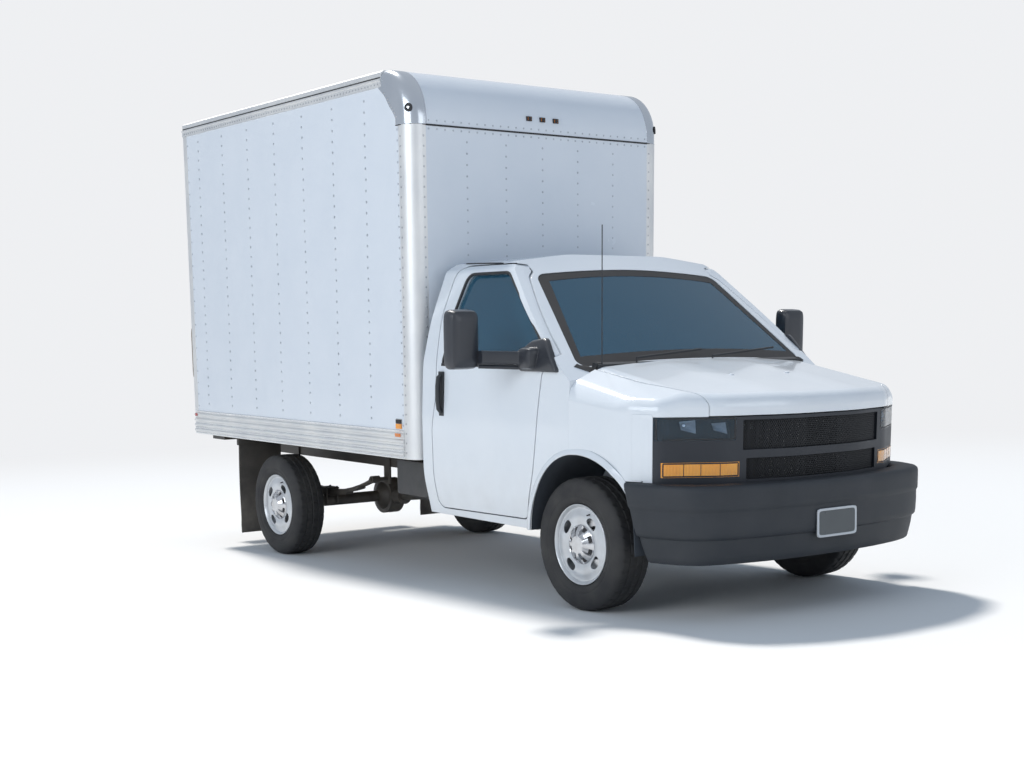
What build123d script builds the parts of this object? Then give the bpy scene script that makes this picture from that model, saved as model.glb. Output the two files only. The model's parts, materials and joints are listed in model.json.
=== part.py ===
from build123d import *
import math
import os

# Box truck on a cutaway van chassis. Millimetres. +X forward, +Y left, +Z up.
# The sprung body is modelled level, from the ground point below the front axle,
# and then turned nose-down by RAKE, as an empty truck sits on its springs.
# The wheels, hubs and knuckles stand square to the ground.

# Running gear
WHEELBASE = 3531
RAKE = 1.766  # degrees
TYRE_R = 366
TYRE_HALF_WIDTH = 112
TYRE_WALL = 13
WHEEL_Y = 868  # middle plane of a wheel
RIM_LIP_R = 220
RIM_SEAT_R = 203
RIM_WELL_R = 184
RIM_HALF_WIDTH = 95
RIM_WALL = 7
DISC_FACE = 44  # outer face of the wheel disc, outboard of the middle plane
BOLT_CIRCLE_R = 82.55
STUD_HOLE_R = 8
STUD_COUNT = 8
HAND_HOLES = 4
SPINDLE_R = 30
SPINDLE_FIT = 0.05
ROTOR_R = 150
ROTOR_BACK = -30  # inner face of the brake rotor, outboard of the wheel's middle plane
ROTOR_THICK = 18
CALIPER_GAP = 5
KINGPIN_Y = 790
COILS = 6
ARM_GAP = 44  # from the kingpin to the tips of the control arms

# Box body
BOX_FRONT = -1573
BOX_LENGTH = 3226
BOX_HALF_WIDTH = 1011
BOX_BOTTOM = 719
BOX_TOP = 3092
RUB_RAIL_TOP = 902
TOP_RAIL_BOTTOM = 2993
TOP_RAIL_LIP = 3026
WALL = 40
SKIN = 6
POST_WIDTH = 121
POST_CORNER_R = 95
CAP_BOTTOM = 2747
CAP_R = 305
FLOOR_THICK = 45
RIB_WIDTH = 60
SIDE_RIBS = 8
FRONT_RIBS = 7
REAR_POST_DEPTH = 62
TOW_HOLE_R = 12.7

# Cab
CAB_BACK = -1500
CAB_HALF_WIDTH = 1003
SILL_BOTTOM = 402
CAB_FLOOR = 610
FIREWALL = -60
COWL_Z = 1338
ROOF_Z = 1966
ROOF_SIDE_Z = 1905
ROOF_HALF_WIDTH = 806
BELT_Z = 1324
DOOR_THICK = 58
DOOR_GAP = 7
ROOF_THICK = 38
GLASS_THICK = 6
HUMP_Y = 290
HUMP_TOP = 975
WINDSHIELD_R = 7000
WINDSHIELD_BASE = (-62, 1338)
WINDSHIELD_TOP = (-800, 1930)

# Nose
NOSE_FRONT = 848
HOOD_REAR_Z = 1352
HOOD_SLOPE = 0.185
HOOD_LIP_Z = 1082
HOOD_THICK = 30
FASCIA_TOP = 1078
FASCIA_BOTTOM = 726
FASCIA_BACK = 470
PANEL = 24
ARCH_BACK = -420
ARCH_FRONT = 455
ARCH_TOP = 880
WELL_INNER = 530
BUMPER_FRONT = 958
BUMPER_TOP = 742
BUMPER_BOTTOM = 328
BUMPER_WALL = 45
PLATE_SIZE = (305, 152)
PLATE_HOLES = (178, 121)
PLATE_HOLE_R = 3.5

# Frame
RAIL_Y = 420
RAIL_WEB = 8
RAIL_FLANGE = 60
RAIL_TOP_REAR = 702
RAIL_DEPTH_REAR = 150
RAIL_TOP_FRONT = 535
RAIL_DEPTH_FRONT = 130
KICK_START = -180  # where the rail drops, from the front of the box
CAB_MOUNTS = (-1350, -720)
GEARBOX_BOTTOM = 430
GEARBOX_TOP = 570
GEARBOX_REAR = -1190
SEAT_Y = 440

BOX_REAR = BOX_FRONT - BOX_LENGTH
BUMPER_REAR = BOX_REAR - 235
ROLL = Rot(0, RAKE, 0)


def to_body(x, z):
    """A point beside the truck, from ground axes into the level body axes."""
    a = math.radians(RAKE)
    return x * math.cos(a) - z * math.sin(a), x * math.sin(a) + z * math.cos(a)


def to_ground(x, z):
    """A point of the level body, into ground axes."""
    a = math.radians(RAKE)
    return x * math.cos(a) + z * math.sin(a), -x * math.sin(a) + z * math.cos(a)


FRONT_AXLE = to_body(0, TYRE_R)
REAR_AXLE = to_body(-WHEELBASE, TYRE_R)
FRAME_X = (to_ground(BUMPER_FRONT, BUMPER_TOP)[0] + to_ground(BUMPER_REAR, BOX_BOTTOM)[0]) / 2
TO_FRAME = Pos(-FRAME_X, 0, 0)


# Shapes

def block(x0, x1, y0, y1, z0, z1):
    return Pos((x0 + x1) / 2, (y0 + y1) / 2, (z0 + z1) / 2) * Box(
        abs(x1 - x0), abs(y1 - y0), abs(z1 - z0)
    )


def outline(points):
    """Closed face in XY from corners (a, b) or, for a rounded corner, (a, b, radius)."""
    marks = []
    count = len(points)
    for i, point in enumerate(points):
        here = Vector(point[0], point[1])
        radius = point[2] if len(point) > 2 else 0
        if radius == 0:
            marks.append((here, None, here))
            continue
        before = Vector(*points[i - 1][:2])
        after = Vector(*points[(i + 1) % count][:2])
        u = (before - here).normalized()
        v = (after - here).normalized()
        half = math.acos(max(-1.0, min(1.0, u.dot(v)))) / 2
        reach = radius / math.tan(half)
        middle = here + (u + v).normalized() * (radius / math.sin(half) - radius)
        marks.append((here + u * reach, middle, here + v * reach))
    edges = []
    for i, (start, middle, end) in enumerate(marks):
        if middle is not None:
            edges.append(Edge.make_three_point_arc(start, middle, end))
        following = marks[(i + 1) % count][0]
        if (following - end).length > 0.001:
            edges.append(Edge.make_line(end, following))
    return Face(Wire(edges))


def side(points, y0, y1):
    """A side view outline (x, z) pulled from y0 to y1."""
    face = Plane.XZ * outline(points)
    return Pos(0, y0, 0) * extrude(face, amount=y1 - y0, dir=(0, 1, 0))


def front(points, x0, x1):
    """A front view outline (y, z) pulled from x0 to x1."""
    face = Plane.YZ * outline(points)
    return Pos(x0, 0, 0) * extrude(face, amount=x1 - x0, dir=(1, 0, 0))


def plan(points, z0, z1):
    """A top view outline (x, y) pulled from z0 to z1."""
    return Pos(0, 0, z0) * extrude(outline(points), amount=z1 - z0, dir=(0, 0, 1))


def other_side(shape):
    return mirror(shape, about=Plane.XZ)


def both_sides(shape):
    return Compound(list(shape.solids()) + list(other_side(shape).solids()))


def rod(p0, p1, radius):
    a, b = Vector(*p0), Vector(*p1)
    plane = Plane(origin=a, z_dir=(b - a).normalized())
    return plane * Pos(0, 0, (b - a).length / 2) * Cylinder(radius, (b - a).length)


def group(shapes):
    solids = []
    for shape in shapes:
        solids += list(shape.solids())
    return Compound(solids)


nodes = {}


def body_node(name, shape):
    nodes[name] = TO_FRAME * ROLL * shape


def ground_node(name, shape):
    nodes[name] = TO_FRAME * shape


# Wheels

def tyre():
    """Hollow tyre on the rim's bead seats, from half an outline (radius, offset)."""
    seat = RIM_SEAT_R + 1.3
    outer = [(seat, 76), (212, 83.5), (222.5, 85), (240, 103), (268, 110), (300, TYRE_HALF_WIDTH),
             (330, 108), (352, 98), (362, 90), (TYRE_R, 80)]
    inner = [(TYRE_R - 22, 78), (330, 92), (296, TYRE_HALF_WIDTH - TYRE_WALL), (262, 96), (240, 84),
             (222, 68), (seat, 62)]
    return turned([(r, -w) for r, w in outer] + outer[::-1] + inner[::-1] + [(r, -w) for r, w in inner])


def turned(points):
    """A (radius, offset) outline turned round the Y axis; offset is along +Y."""
    face = outline(points)
    return revolve(face, axis=Axis.Y)


def rim():
    well, seat, lip = RIM_WELL_R, RIM_SEAT_R, RIM_LIP_R
    t, w = RIM_WALL, RIM_HALF_WIDTH
    barrel = turned([
        (lip, w), (lip, w - 8), (seat + 1, w - 12), (seat, 62), (well, 40), (well, -20), (seat, -46),
        (seat + 1, 12 - w), (lip, 8 - w), (lip, -w), (seat - t + 1, -w), (seat - t, -46),
        (well - t, -20), (well - t, 40), (seat - t, 62), (seat - t + 1, w),
    ])
    f = DISC_FACE
    disc = turned([
        (SPINDLE_R + 32, f - 14), (SPINDLE_R + 32, f), (106, f), (120, f - 9), (150, f - 10),
        (well - t, f - 26), (well - t, f - 36), (148, f - 20), (120, f - 20), (106, f - 14),
    ])
    for i in range(HAND_HOLES):
        hole = Pos(0, f - 15, 0) * Rot(0, 45 + 360 / HAND_HOLES * i, 0) * Pos(143, 0, 0)
        cutter = Rot(90, 0, 0) * extrude(
            outline([(-15, -36, 14), (16, -30, 14), (16, 30, 14), (-15, 36, 14)]),
            amount=30, both=True,
        )
        disc -= hole * cutter
    for i in range(STUD_COUNT):
        turn = Rot(0, 22.5 + 360 / STUD_COUNT * i, 0)
        disc -= turn * Pos(BOLT_CIRCLE_R, f - 10, 0) * Rot(90, 0, 0) * Cylinder(STUD_HOLE_R, 60)
    return barrel + disc


def hub():
    """Hub, brake rotor, lug nuts and the fluted centre cap, in one casting."""
    f = DISC_FACE
    body = turned([
        (SPINDLE_R + SPINDLE_FIT, ROTOR_BACK - 22), (60, ROTOR_BACK - 22), (60, ROTOR_BACK),
        (ROTOR_R, ROTOR_BACK), (ROTOR_R, ROTOR_BACK + ROTOR_THICK), (92, ROTOR_BACK + ROTOR_THICK),
        (92, f - 14.3), (SPINDLE_R + 31.5, f - 14.3), (SPINDLE_R + 31.5, f + 12),
        (SPINDLE_R + SPINDLE_FIT, f + 12),
    ])
    cap = turned([
        (SPINDLE_R + SPINDLE_FIT, f + 12), (96, f + 0.3), (96, f + 10), (90, f + 15), (62, f + 24),
        (54, f + 40), (0, f + 44), (0, f + 30), (SPINDLE_R + SPINDLE_FIT, f + 30),
    ])
    for i in range(STUD_COUNT):
        turn = Rot(0, 22.5 + 360 / STUD_COUNT * i, 0)
        place = turn * Pos(BOLT_CIRCLE_R, 0, 0)
        cap -= place * Pos(0, f + 20, 0) * Rot(90, 0, 0) * Cylinder(17, 39)
        body += place * Pos(0, f - 4, 0) * Rot(90, 0, 0) * Cylinder(STUD_HOLE_R - 0.5, 21)
        body += place * Pos(0, f + 12.3, 0) * Rot(90, 0, 0) * extrude(
            RegularPolygon(12, 6), amount=12, both=True
        )
    return body + cap


def place_wheel(shape, x, left):
    if not left:
        shape = other_side(shape)
    return Pos(x, WHEEL_Y if left else -WHEEL_Y, TYRE_R) * shape


TYRE = tyre()
RIM = rim()
HUB = hub()
for axle, axle_x in (("front", 0), ("rear", -WHEELBASE)):
    for hand in ("left", "right"):
        is_left = hand == "left"
        ground_node(f"tyre_{axle}_{hand}", place_wheel(TYRE, axle_x, is_left))
        ground_node(f"rim_{axle}_{hand}", place_wheel(RIM, axle_x, is_left))
        ground_node(f"hub_{axle}_{hand}", place_wheel(HUB, axle_x, is_left))


# Steering knuckle, square to the ground, modelled for the left side

def caliper(height):
    """Brake caliper over the rotor, its middle on the rotor's, pointing along +X."""
    wall = ROTOR_THICK / 2 + CALIPER_GAP
    shape = turned([(118, -wall - 10), (118, wall + 10), (168, wall + 10), (168, -wall - 10)])
    shape &= block(60, 200, -60, 60, -height / 2, height / 2)
    return shape - turned([(0, -wall), (0, wall), (ROTOR_R + 7, wall), (ROTOR_R + 7, -wall)])


CALIPER_Y = WHEEL_Y + ROTOR_BACK + ROTOR_THICK / 2


def knuckle():
    z = TYRE_R
    upright = side([(-28, z - 116, 8), (28, z - 116, 8), (40, z, 30), (24, z + 112, 8),
                    (-24, z + 112, 8), (-40, z, 30)], KINGPIN_Y - 14, KINGPIN_Y + 14)
    spindle = rod((0, KINGPIN_Y, z), (0, WHEEL_Y + DISC_FACE + 22, z), SPINDLE_R)
    arm = side([(-150, z - 70, 12), (-30, z - 60), (-30, z - 30), (-150, z - 42, 12)],
               KINGPIN_Y - 46, KINGPIN_Y - 22)
    neck = block(-48, -22, KINGPIN_Y - 30, KINGPIN_Y, z - 68, z - 32)
    bracket = block(28, 130, KINGPIN_Y - 6, KINGPIN_Y + 12, z - 34, z + 34)
    link = block(112, 130, KINGPIN_Y - 6, CALIPER_Y - 16, z - 30, z + 30)
    clasp = Pos(0, CALIPER_Y, z) * caliper(160)
    return upright + spindle + arm + neck + bracket + link + clasp


KNUCKLE = knuckle()
ground_node("knuckle_left", KNUCKLE)
ground_node("knuckle_right", other_side(KNUCKLE))


# Underbody, in body axes

def frame_rail():
    def profile(inset):
        rear_bottom = RAIL_TOP_REAR - RAIL_DEPTH_REAR
        front_bottom = RAIL_TOP_FRONT - RAIL_DEPTH_FRONT
        kick = BOX_FRONT + KICK_START
        return [
            (BOX_REAR + 30, RAIL_TOP_REAR - inset), (kick, RAIL_TOP_REAR - inset, 60),
            (kick + 230, RAIL_TOP_FRONT - inset, 60), (NOSE_FRONT - 45, RAIL_TOP_FRONT - inset),
            (NOSE_FRONT - 45, front_bottom + inset), (kick + 160, front_bottom + inset, 60),
            (kick - 70, rear_bottom + inset, 60), (BOX_REAR + 30, rear_bottom + inset),
        ]
    rail = side(profile(0), RAIL_Y - RAIL_FLANGE, RAIL_Y)
    return rail - side(profile(RAIL_WEB), RAIL_Y - RAIL_FLANGE - 10, RAIL_Y - RAIL_WEB)


CROSS_MEMBERS = (  # x, top, depth
    (NOSE_FRONT - 100, RAIL_TOP_FRONT - 10, 90),
    (120, RAIL_TOP_FRONT - 40, 80),
    (-1150, GEARBOX_BOTTOM, 50),
    (-2200, RAIL_TOP_REAR - 20, 100),
    (-2950, RAIL_TOP_REAR - 20, 100),
    (-4150, RAIL_TOP_REAR - 20, 100),
    (BOX_REAR + 80, RAIL_TOP_REAR - 20, 110),
)
frame = frame_rail() + other_side(frame_rail())
for member_x, member_top, member_depth in CROSS_MEMBERS:
    reach = RAIL_Y - RAIL_WEB
    tube = block(member_x - 35, member_x + 35, -reach, reach, member_top - member_depth, member_top)
    tube -= block(member_x - 29, member_x + 41, -reach, reach,
                  member_top - member_depth + 6, member_top - 6)
    frame += tube
for mount_x in CAB_MOUNTS:
    for mount_y in (-390, 390):
        frame += rod((mount_x, mount_y, RAIL_TOP_FRONT - 1), (mount_x, mount_y, CAB_FLOOR - 24), 28)
body_node("frame_rails", frame)

ENGINE = (-560, 190, -255, 255, RAIL_TOP_FRONT - 40, 940)
gearbox = front([(-150, GEARBOX_BOTTOM, 40), (150, GEARBOX_BOTTOM, 40), (120, GEARBOX_TOP, 30),
                 (-120, GEARBOX_TOP, 30)], GEARBOX_REAR, ENGINE[0])
body_node("engine_and_gearbox", block(*ENGINE) + gearbox)

# Radiator and fan shroud behind the grille
radiator = block(690, 735, -330, 330, RAIL_TOP_FRONT - 10, 1030) + block(640, 690, -260, 260, 575, 1000)
radiator -= rod((600, 0, 790), (689, 0, 790), 190)
body_node("radiator", radiator)


def rear_axle():
    ax, az = REAR_AXLE
    tube = rod((ax, -780, az), (ax, 780, az), 42)
    for s in (-1, 1):
        tube += rod((ax, s * 700, az), (ax, s * (WHEEL_Y + DISC_FACE + 22), az), SPINDLE_R)
        tube += rod((ax, s * 770, az), (ax, s * 790, az), 95)
        clasp = Pos(ax, s * CALIPER_Y, az) * caliper(140)
        y0, y1 = sorted((s * 772, s * 788))
        arm = block(ax + 60, ax + 130, y0, y1, az - 34, az + 34)
        y0, y1 = sorted((s * 772, s * (CALIPER_Y - 16)))
        link = block(ax + 112, ax + 130, y0, y1, az - 30, az + 30)
        tube += clasp + arm + link
    case = Pos(ax, 0, az) * Rot(90, 0, 0) * Cylinder(135, 120)
    case += Pos(ax, 0, az) * Sphere(120)
    case += rod((ax, 0, az), (ax + 230, 0, az + 12), 62)
    yoke_z = (GEARBOX_BOTTOM + GEARBOX_TOP) / 2
    shaft = rod((ax + 225, 0, az + 12), (GEARBOX_REAR - 60, 0, yoke_z), 34)
    yoke = rod((GEARBOX_REAR - 62, 0, yoke_z), (GEARBOX_REAR, 0, yoke_z), 52)
    return tube + case + shaft + yoke


body_node("rear_axle", rear_axle())


def leaf_spring():
    ax, az = REAR_AXLE
    low = az + 48
    half = 680
    eye = low + 128
    y0, y1 = 500, 565
    pack = None
    for i, share in enumerate((1.0, 0.72, 0.46)):
        drop = 14 * i
        span = half * share
        rise = (eye - low) * share * share
        top = [Vector(ax - span, 0, low + rise + 42 - drop), Vector(ax, 0, low + 42 - drop),
               Vector(ax + span, 0, low + rise + 42 - drop)]
        bottom = [v + Vector(0, 0, -14) for v in top]
        wire = Wire([
            Edge.make_three_point_arc(*top), Edge.make_line(top[2], bottom[2]),
            Edge.make_three_point_arc(bottom[2], bottom[1], bottom[0]),
            Edge.make_line(bottom[0], top[0]),
        ])
        leaf = Pos(0, y0, 0) * extrude(Face(wire), amount=y1 - y0, dir=(0, 1, 0))
        pack = leaf if pack is None else pack + leaf
    for s in (-1, 1):
        pack += rod((ax + s * half, y0, eye + 34), (ax + s * half, y1, eye + 34), 26)
    hanger_z = RAIL_TOP_REAR - RAIL_DEPTH_REAR + 70
    for s in (-1, 1):
        x = ax + s * half
        plate = block(x - 40, x + 40, RAIL_Y, RAIL_Y + 12, eye, hanger_z)
        pack += plate + rod((x, RAIL_Y, eye + 34), (x, y1 + 12, eye + 34), 14)
    pack += block(ax - 60, ax + 60, y0 - 8, y1 + 8, az + 42, low)
    for s in (-1, 1):
        pack += rod((ax + s * 52, y0 - 12, az - 20), (ax + s * 52, y0 - 12, low + 60), 7)
        pack += rod((ax + s * 52, y1 + 12, az - 20), (ax + s * 52, y1 + 12, low + 60), 7)
    pack += block(ax - 66, ax + 66, y0 - 22, y1 + 22, low + 42, low + 54)
    return pack


body_node("rear_springs", both_sides(leaf_spring()))


def front_suspension():
    ax, az = FRONT_AXLE
    inner, outer = 330, KINGPIN_Y - ARM_GAP
    lower = plan([(ax - 150, inner), (ax - 90, inner), (ax - 6, outer - 150, 30),
                  (ax + 90, inner), (ax + 150, inner), (ax + 34, outer, 20), (ax - 34, outer, 20)],
                 az - 128, az - 100)
    upper = plan([(ax - 110, RAIL_Y), (ax - 60, RAIL_Y), (ax - 4, outer - 150, 24),
                  (ax + 60, RAIL_Y), (ax + 110, RAIL_Y), (ax + 28, outer, 16), (ax - 28, outer, 16)],
                 az + 84, az + 106)
    damper = rod((ax, 500, az - 102), (ax, 500, az + 88), 40)
    for i in range(COILS):
        damper += Pos(ax, 500, az - 86 + 160 / (COILS - 1) * i) * Cylinder(62, 14)
    return lower + upper + damper


SUSPENSION = front_suspension()
ax, az = FRONT_AXLE
beam = block(ax - 170, ax + 170, -330, 330, az - 128, az - 40)
beam -= block(ax - 150, ax + 150, -310, 310, az - 130, az - 60)
steering_rack = rod((ax - 190, -520, az - 40), (ax - 190, 520, az - 40), 24)
steering_rack += block(ax - 215, ax - 160, -60, 60, az - 66, az - 46) + block(
    ax - 215, ax - 165, -60, 60, az - 66, az - 14)
body_node("front_suspension", beam + SUSPENSION + other_side(SUSPENSION) + steering_rack)

# Fuel tank inside the right rail behind the cab, exhaust inside the left one
tank = front([(-350, 330, 50), (-50, 330, 50), (-50, 540, 40), (-350, 540, 40)], -2650, -1640)
tank += block(-2230, -2170, -300, -100, 538, RAIL_TOP_REAR - 120)
body_node("fuel_tank", tank)

EXHAUST_R = 32
EXHAUST_RUN = (  # x, y, z of each bend
    (-640, 215, 340), (-2800, 215, 340), (-3050, 320, 500), (-4330, 320, 500), (-4480, 640, 485),
    (-4520, 900, 475),
)


def exhaust():
    pipe = None
    for start, end in zip(EXHAUST_RUN, EXHAUST_RUN[1:]):
        run = rod(start, end, EXHAUST_R)
        pipe = run if pipe is None else pipe + run
    for bend in EXHAUST_RUN[1:-1]:
        pipe += Pos(*bend) * Sphere(EXHAUST_R)
    y, z = EXHAUST_RUN[0][1:]
    pipe += front([(y - 95, z - 75, 60), (y + 95, z - 75, 60), (y + 95, z + 75, 60), (y - 95, z + 75, 60)],
                  -2350, -1750)
    return pipe + block(-2215, -2185, y - 15, y + 15, z + 60, RAIL_TOP_REAR - 120)


body_node("exhaust", exhaust())


# Cab, in body axes

def cab_section(inset, roof):
    """Front view of the cabin, inset from its outside, its roof at this height."""
    side_z = ROOF_SIDE_Z - (ROOF_Z - roof)
    w = CAB_HALF_WIDTH - inset
    right = [
        (-(935 - inset), SILL_BOTTOM - 40), (-(w - 4), 640, 700), (-w, 1000, 1500), (-(w - 15), BELT_Z, 500),
        (-(w - 78), 1580, 1400), (-(ROOF_HALF_WIDTH - inset), side_z - 34, 60),
        (-(ROOF_HALF_WIDTH - 72 - inset), side_z + 12, 60), (-380, roof - 8, 900),
    ]
    left = [(-p[0],) + tuple(p[1:]) for p in reversed(right)]
    return right + left


def windshield_barrel(inset):
    """Inside of the large drum whose front is the windshield."""
    bx, bz = WINDSHIELD_BASE
    tx, tz = WINDSHIELD_TOP
    length = math.hypot(tx - bx, tz - bz)
    nx, nz = (tz - bz) / length, (bx - tx) / length
    origin = Vector(bx - nx * WINDSHIELD_R, 0, bz - nz * WINDSHIELD_R)
    plane = Plane(origin=origin, z_dir=((tx - bx) / length, 0, (tz - bz) / length))
    return plane * Cylinder(WINDSHIELD_R - inset, 9000)


def cab_solid(inset, roof, floor, back, firewall):
    shape = front(cab_section(inset, roof), back, firewall)
    top = WINDSHIELD_TOP
    roof_line = side([
        (back - 5, floor), (back - 5, roof - 40, 90), (-1250, roof + 1, 900),
        (top[0] + 60, roof + 1, 260), (firewall + 5, COWL_Z + 40), (firewall + 5, floor),
    ], -1200, 1200)
    return shape & windshield_barrel(inset) & roof_line


def wheel_well(grow=0):
    g = grow
    well = side([
        (ARCH_BACK - g, 200), (ARCH_BACK - g, 520, 40), (-330 - g, 700, 120), (-190, ARCH_TOP - 20 + g, 160),
        (120, ARCH_TOP + g, 260), (360 + g, 760, 140), (ARCH_FRONT + g, 560, 60), (ARCH_FRONT + 14 + g, 200),
    ], WELL_INNER - g, 1100)
    return well


DOOR_SHAPE = [
    (-1390, 446, 60), (-1388, 720, 400), (-1392, 930, 300), (-1352, 1110, 300), (-1350, 1300, 500),
    (-1388, 1600, 500), (-1380, 1896, 90), (-820, 1896, 110), (-180, 1344, 40), (-308, 1300, 60),
    (-330, 1150, 400), (-352, 950, 600), (-392, 700, 600), (-494, 460, 40),
]
WINDOW_SHAPE = [
    (-1290, BELT_Z, 12), (-1270, 1640, 400), (-1246, 1848, 62), (-838, 1848, 90), (-388, 1484, 900),
    (-206, BELT_Z, 14),
]
DOOR_LIP = 16


def grown(points, amount):
    """A side outline moved outward by an amount."""
    face = outline(points)
    wire = face.outer_wire().offset_2d(amount)
    return Face(wire)


def side_prism(face, y0, y1):
    return Pos(0, y0, 0) * extrude(Plane.XZ * face, amount=y1 - y0, dir=(0, 1, 0))


cab_outer = cab_solid(0, ROOF_Z, SILL_BOTTOM, CAB_BACK, FIREWALL)
cab_inner = cab_solid(DOOR_THICK, ROOF_Z - ROOF_THICK, CAB_FLOOR, CAB_BACK + 34, FIREWALL - 26)
cab_inner -= wheel_well(26) + other_side(wheel_well(26))
cab_inner -= block(-640, 0, -HUMP_Y, HUMP_Y, 500, HUMP_TOP)
cab_under = cab_solid(DOOR_THICK + 30, ROOF_Z, SILL_BOTTOM - 10, CAB_BACK - 10, FIREWALL + 10)
cab_under &= block(-2000, 200, -900, 900, 300, CAB_FLOOR - 24)
cab_under -= block(-1470, -300, 830, 905, 300, CAB_FLOOR) + block(-1470, -300, -905, -830, 300, CAB_FLOOR)
cab_shell = cab_outer - cab_inner - cab_under
cab_shell -= block(-614, 20, -HUMP_Y + 26, HUMP_Y - 26, 400, HUMP_TOP - 26)
cab_shell -= wheel_well() + other_side(wheel_well())

def cab_side_skin(outer, inner):
    """The cab's side walls and roof between two insets, with no front or back."""
    skin = front(cab_section(outer, ROOF_Z - outer), CAB_BACK, 0)
    return skin - front(cab_section(inner, ROOF_Z - inner), CAB_BACK - 1, 1)


door_opening = side_prism(grown(DOOR_SHAPE, -DOOR_LIP), 700, 1100)
cab_shell -= door_opening + other_side(door_opening)
door_seat = side_prism(grown(DOOR_SHAPE, DOOR_GAP), 700, 1100) & cab_side_skin(0, DOOR_THICK)
cab_shell -= door_seat + other_side(door_seat)


def windshield_cut(grow):
    """The windshield opening, pulled along the glass's own normal."""
    bx, bz = WINDSHIELD_BASE
    tx, tz = WINDSHIELD_TOP
    length = math.hypot(tx - bx, tz - bz)
    normal = Vector((tz - bz) / length, 0, (bx - tx) / length)
    plane = Plane(origin=(bx, 0, bz), x_dir=(0, 1, 0), z_dir=normal)
    g = grow
    face = outline([
        (-(880 + g), 34 - g, 60), (-(700 + g), 838 + g, 80), (0, 852 + g, 5000), (700 + g, 838 + g, 80),
        (880 + g, 34 - g, 60), (0, 22 - g, 5000),
    ])
    return plane * extrude(face, amount=260, both=True)


cab_shell -= windshield_cut(0) & (windshield_barrel(-40) - windshield_barrel(120))
body_node("cab_shell", cab_shell)
glass = windshield_cut(0) & (windshield_barrel(4) - windshield_barrel(4 + GLASS_THICK))
body_node("windshield", glass)

# Doors, modelled for the left side
door = side_prism(outline(DOOR_SHAPE), 700, 1100) & cab_side_skin(0, DOOR_THICK - DOOR_GAP) & cab_outer
window = side_prism(outline(WINDOW_SHAPE), 700, 1100)
door -= window
door_glass = window & cab_side_skin(20, 20 + GLASS_THICK)


def mirror_head():
    """Tow mirror on a long arm, carried by the door's front corner."""
    base = side([(-420, 1342, 16), (-262, 1342, 12), (-405, 1470, 16)], 930, 1022)
    arm = rod((-330, 975, 1385), (-560, 1175, 1440), 20) + rod((-340, 975, 1420), (-560, 1175, 1478), 14)
    head = front([(1165, 1352, 40), (1402, 1352, 50), (1402, 1640, 60), (1165, 1640, 50)], -660, -545)
    head -= front([(1183, 1370, 30), (1384, 1370, 36), (1384, 1622, 44), (1183, 1622, 36)], -670, -652)
    return base + arm + head


MIRROR = max((mirror_head() - door - door_glass).solids(), key=lambda s: s.volume)
HANDS = (("left", lambda shape: shape), ("right", other_side))
for hand, place in HANDS:
    body_node(f"cab_door_{hand}", place(door))
    body_node(f"door_glass_{hand}", place(door_glass))
    body_node(f"mirror_{hand}", place(MIRROR))


# Nose, in body axes

def nose_plan(inset):
    right = [
        (FIREWALL - 10, -(CAB_HALF_WIDTH - inset)), (360, -(990 - inset), 400),
        (560 - inset * 0.6, -(912 - inset), 130), (745 - inset, -(620 - inset * 0.6), 260),
        (NOSE_FRONT - inset, -250, 900),
    ]
    return right + [(p[0], -p[1]) + tuple(p[2:]) for p in reversed(right)]


def nose_solid(inset, drop, bottom):
    """Fender and hood form: the plan outline under a crowned, sloping top, its front rounded."""
    base = plan(nose_plan(inset), bottom, 1600)
    w = CAB_HALF_WIDTH + 20 - inset
    top = HOOD_REAR_Z - drop
    right = [(-w, 0), (-w, top - 250), (-(w - 50), top - 110, 120), (-(780 - inset), top - 30, 160),
             (-300, top, 2600)]
    crown = front(right + [(-p[0],) + tuple(p[1:]) for p in reversed(right)], FIREWALL - 40, 1100)
    shear = math.degrees(math.atan(HOOD_SLOPE))
    crown = Pos(FIREWALL, 0, top) * Rot(0, shear, 0) * Pos(-FIREWALL, 0, -top) * crown
    shape = base & crown
    front_edges = shape.edges().filter_by(
        lambda e: e.center().X > 430 and e.center().Z > 1000 and abs(e.bounding_box().size.Z) < 90
        and e.bounding_box().size.Y > 20)
    return fillet(front_edges, 78 - inset * 0.5)


nose_outer = nose_solid(0, 0, 380)
nose_inner = nose_solid(PANEL, HOOD_THICK, 300)
nose_skin = nose_outer - nose_inner
nose_skin -= wheel_well() + other_side(wheel_well())
nose_skin -= block(FIREWALL - 60, FIREWALL, -1100, 1100, 300, 1600)
HOOD_OUTLINE = [
    (FIREWALL + 16, -812), (330, -800, 600), (560, -748, 200), (1000, -560),
    (1000, 560), (560, 748, 200), (330, 800, 600), (FIREWALL + 16, 812),
]
hood_zone = plan(HOOD_OUTLINE, HOOD_LIP_Z, 1700)
hood_gap = plan([(FIREWALL - 80, -818), (330, -806, 600), (563, -753, 200), (1010, -556),
                 (1010, 556), (563, 753, 200), (330, 806, 600), (FIREWALL - 80, 818)],
                HOOD_LIP_Z - 5, 1700)
body_node("hood", nose_skin & hood_zone)

fascia_zone = plan([(FASCIA_BACK, -1100), (1100, -1100), (1100, 1100), (FASCIA_BACK, 1100)],
                   FASCIA_BOTTOM, FASCIA_TOP)
fenders = nose_skin - hood_gap - fascia_zone
fenders -= block(ARCH_FRONT - 20, 1100, -1100, 1100, 300, FASCIA_BOTTOM + 1)
fenders -= block(300, 1100, -1100, 1100, 300, BUMPER_TOP + 2) & nose_outer
body_node("front_fenders", group(sorted(fenders.solids(), key=lambda s: -s.volume)[:2]))

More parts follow.
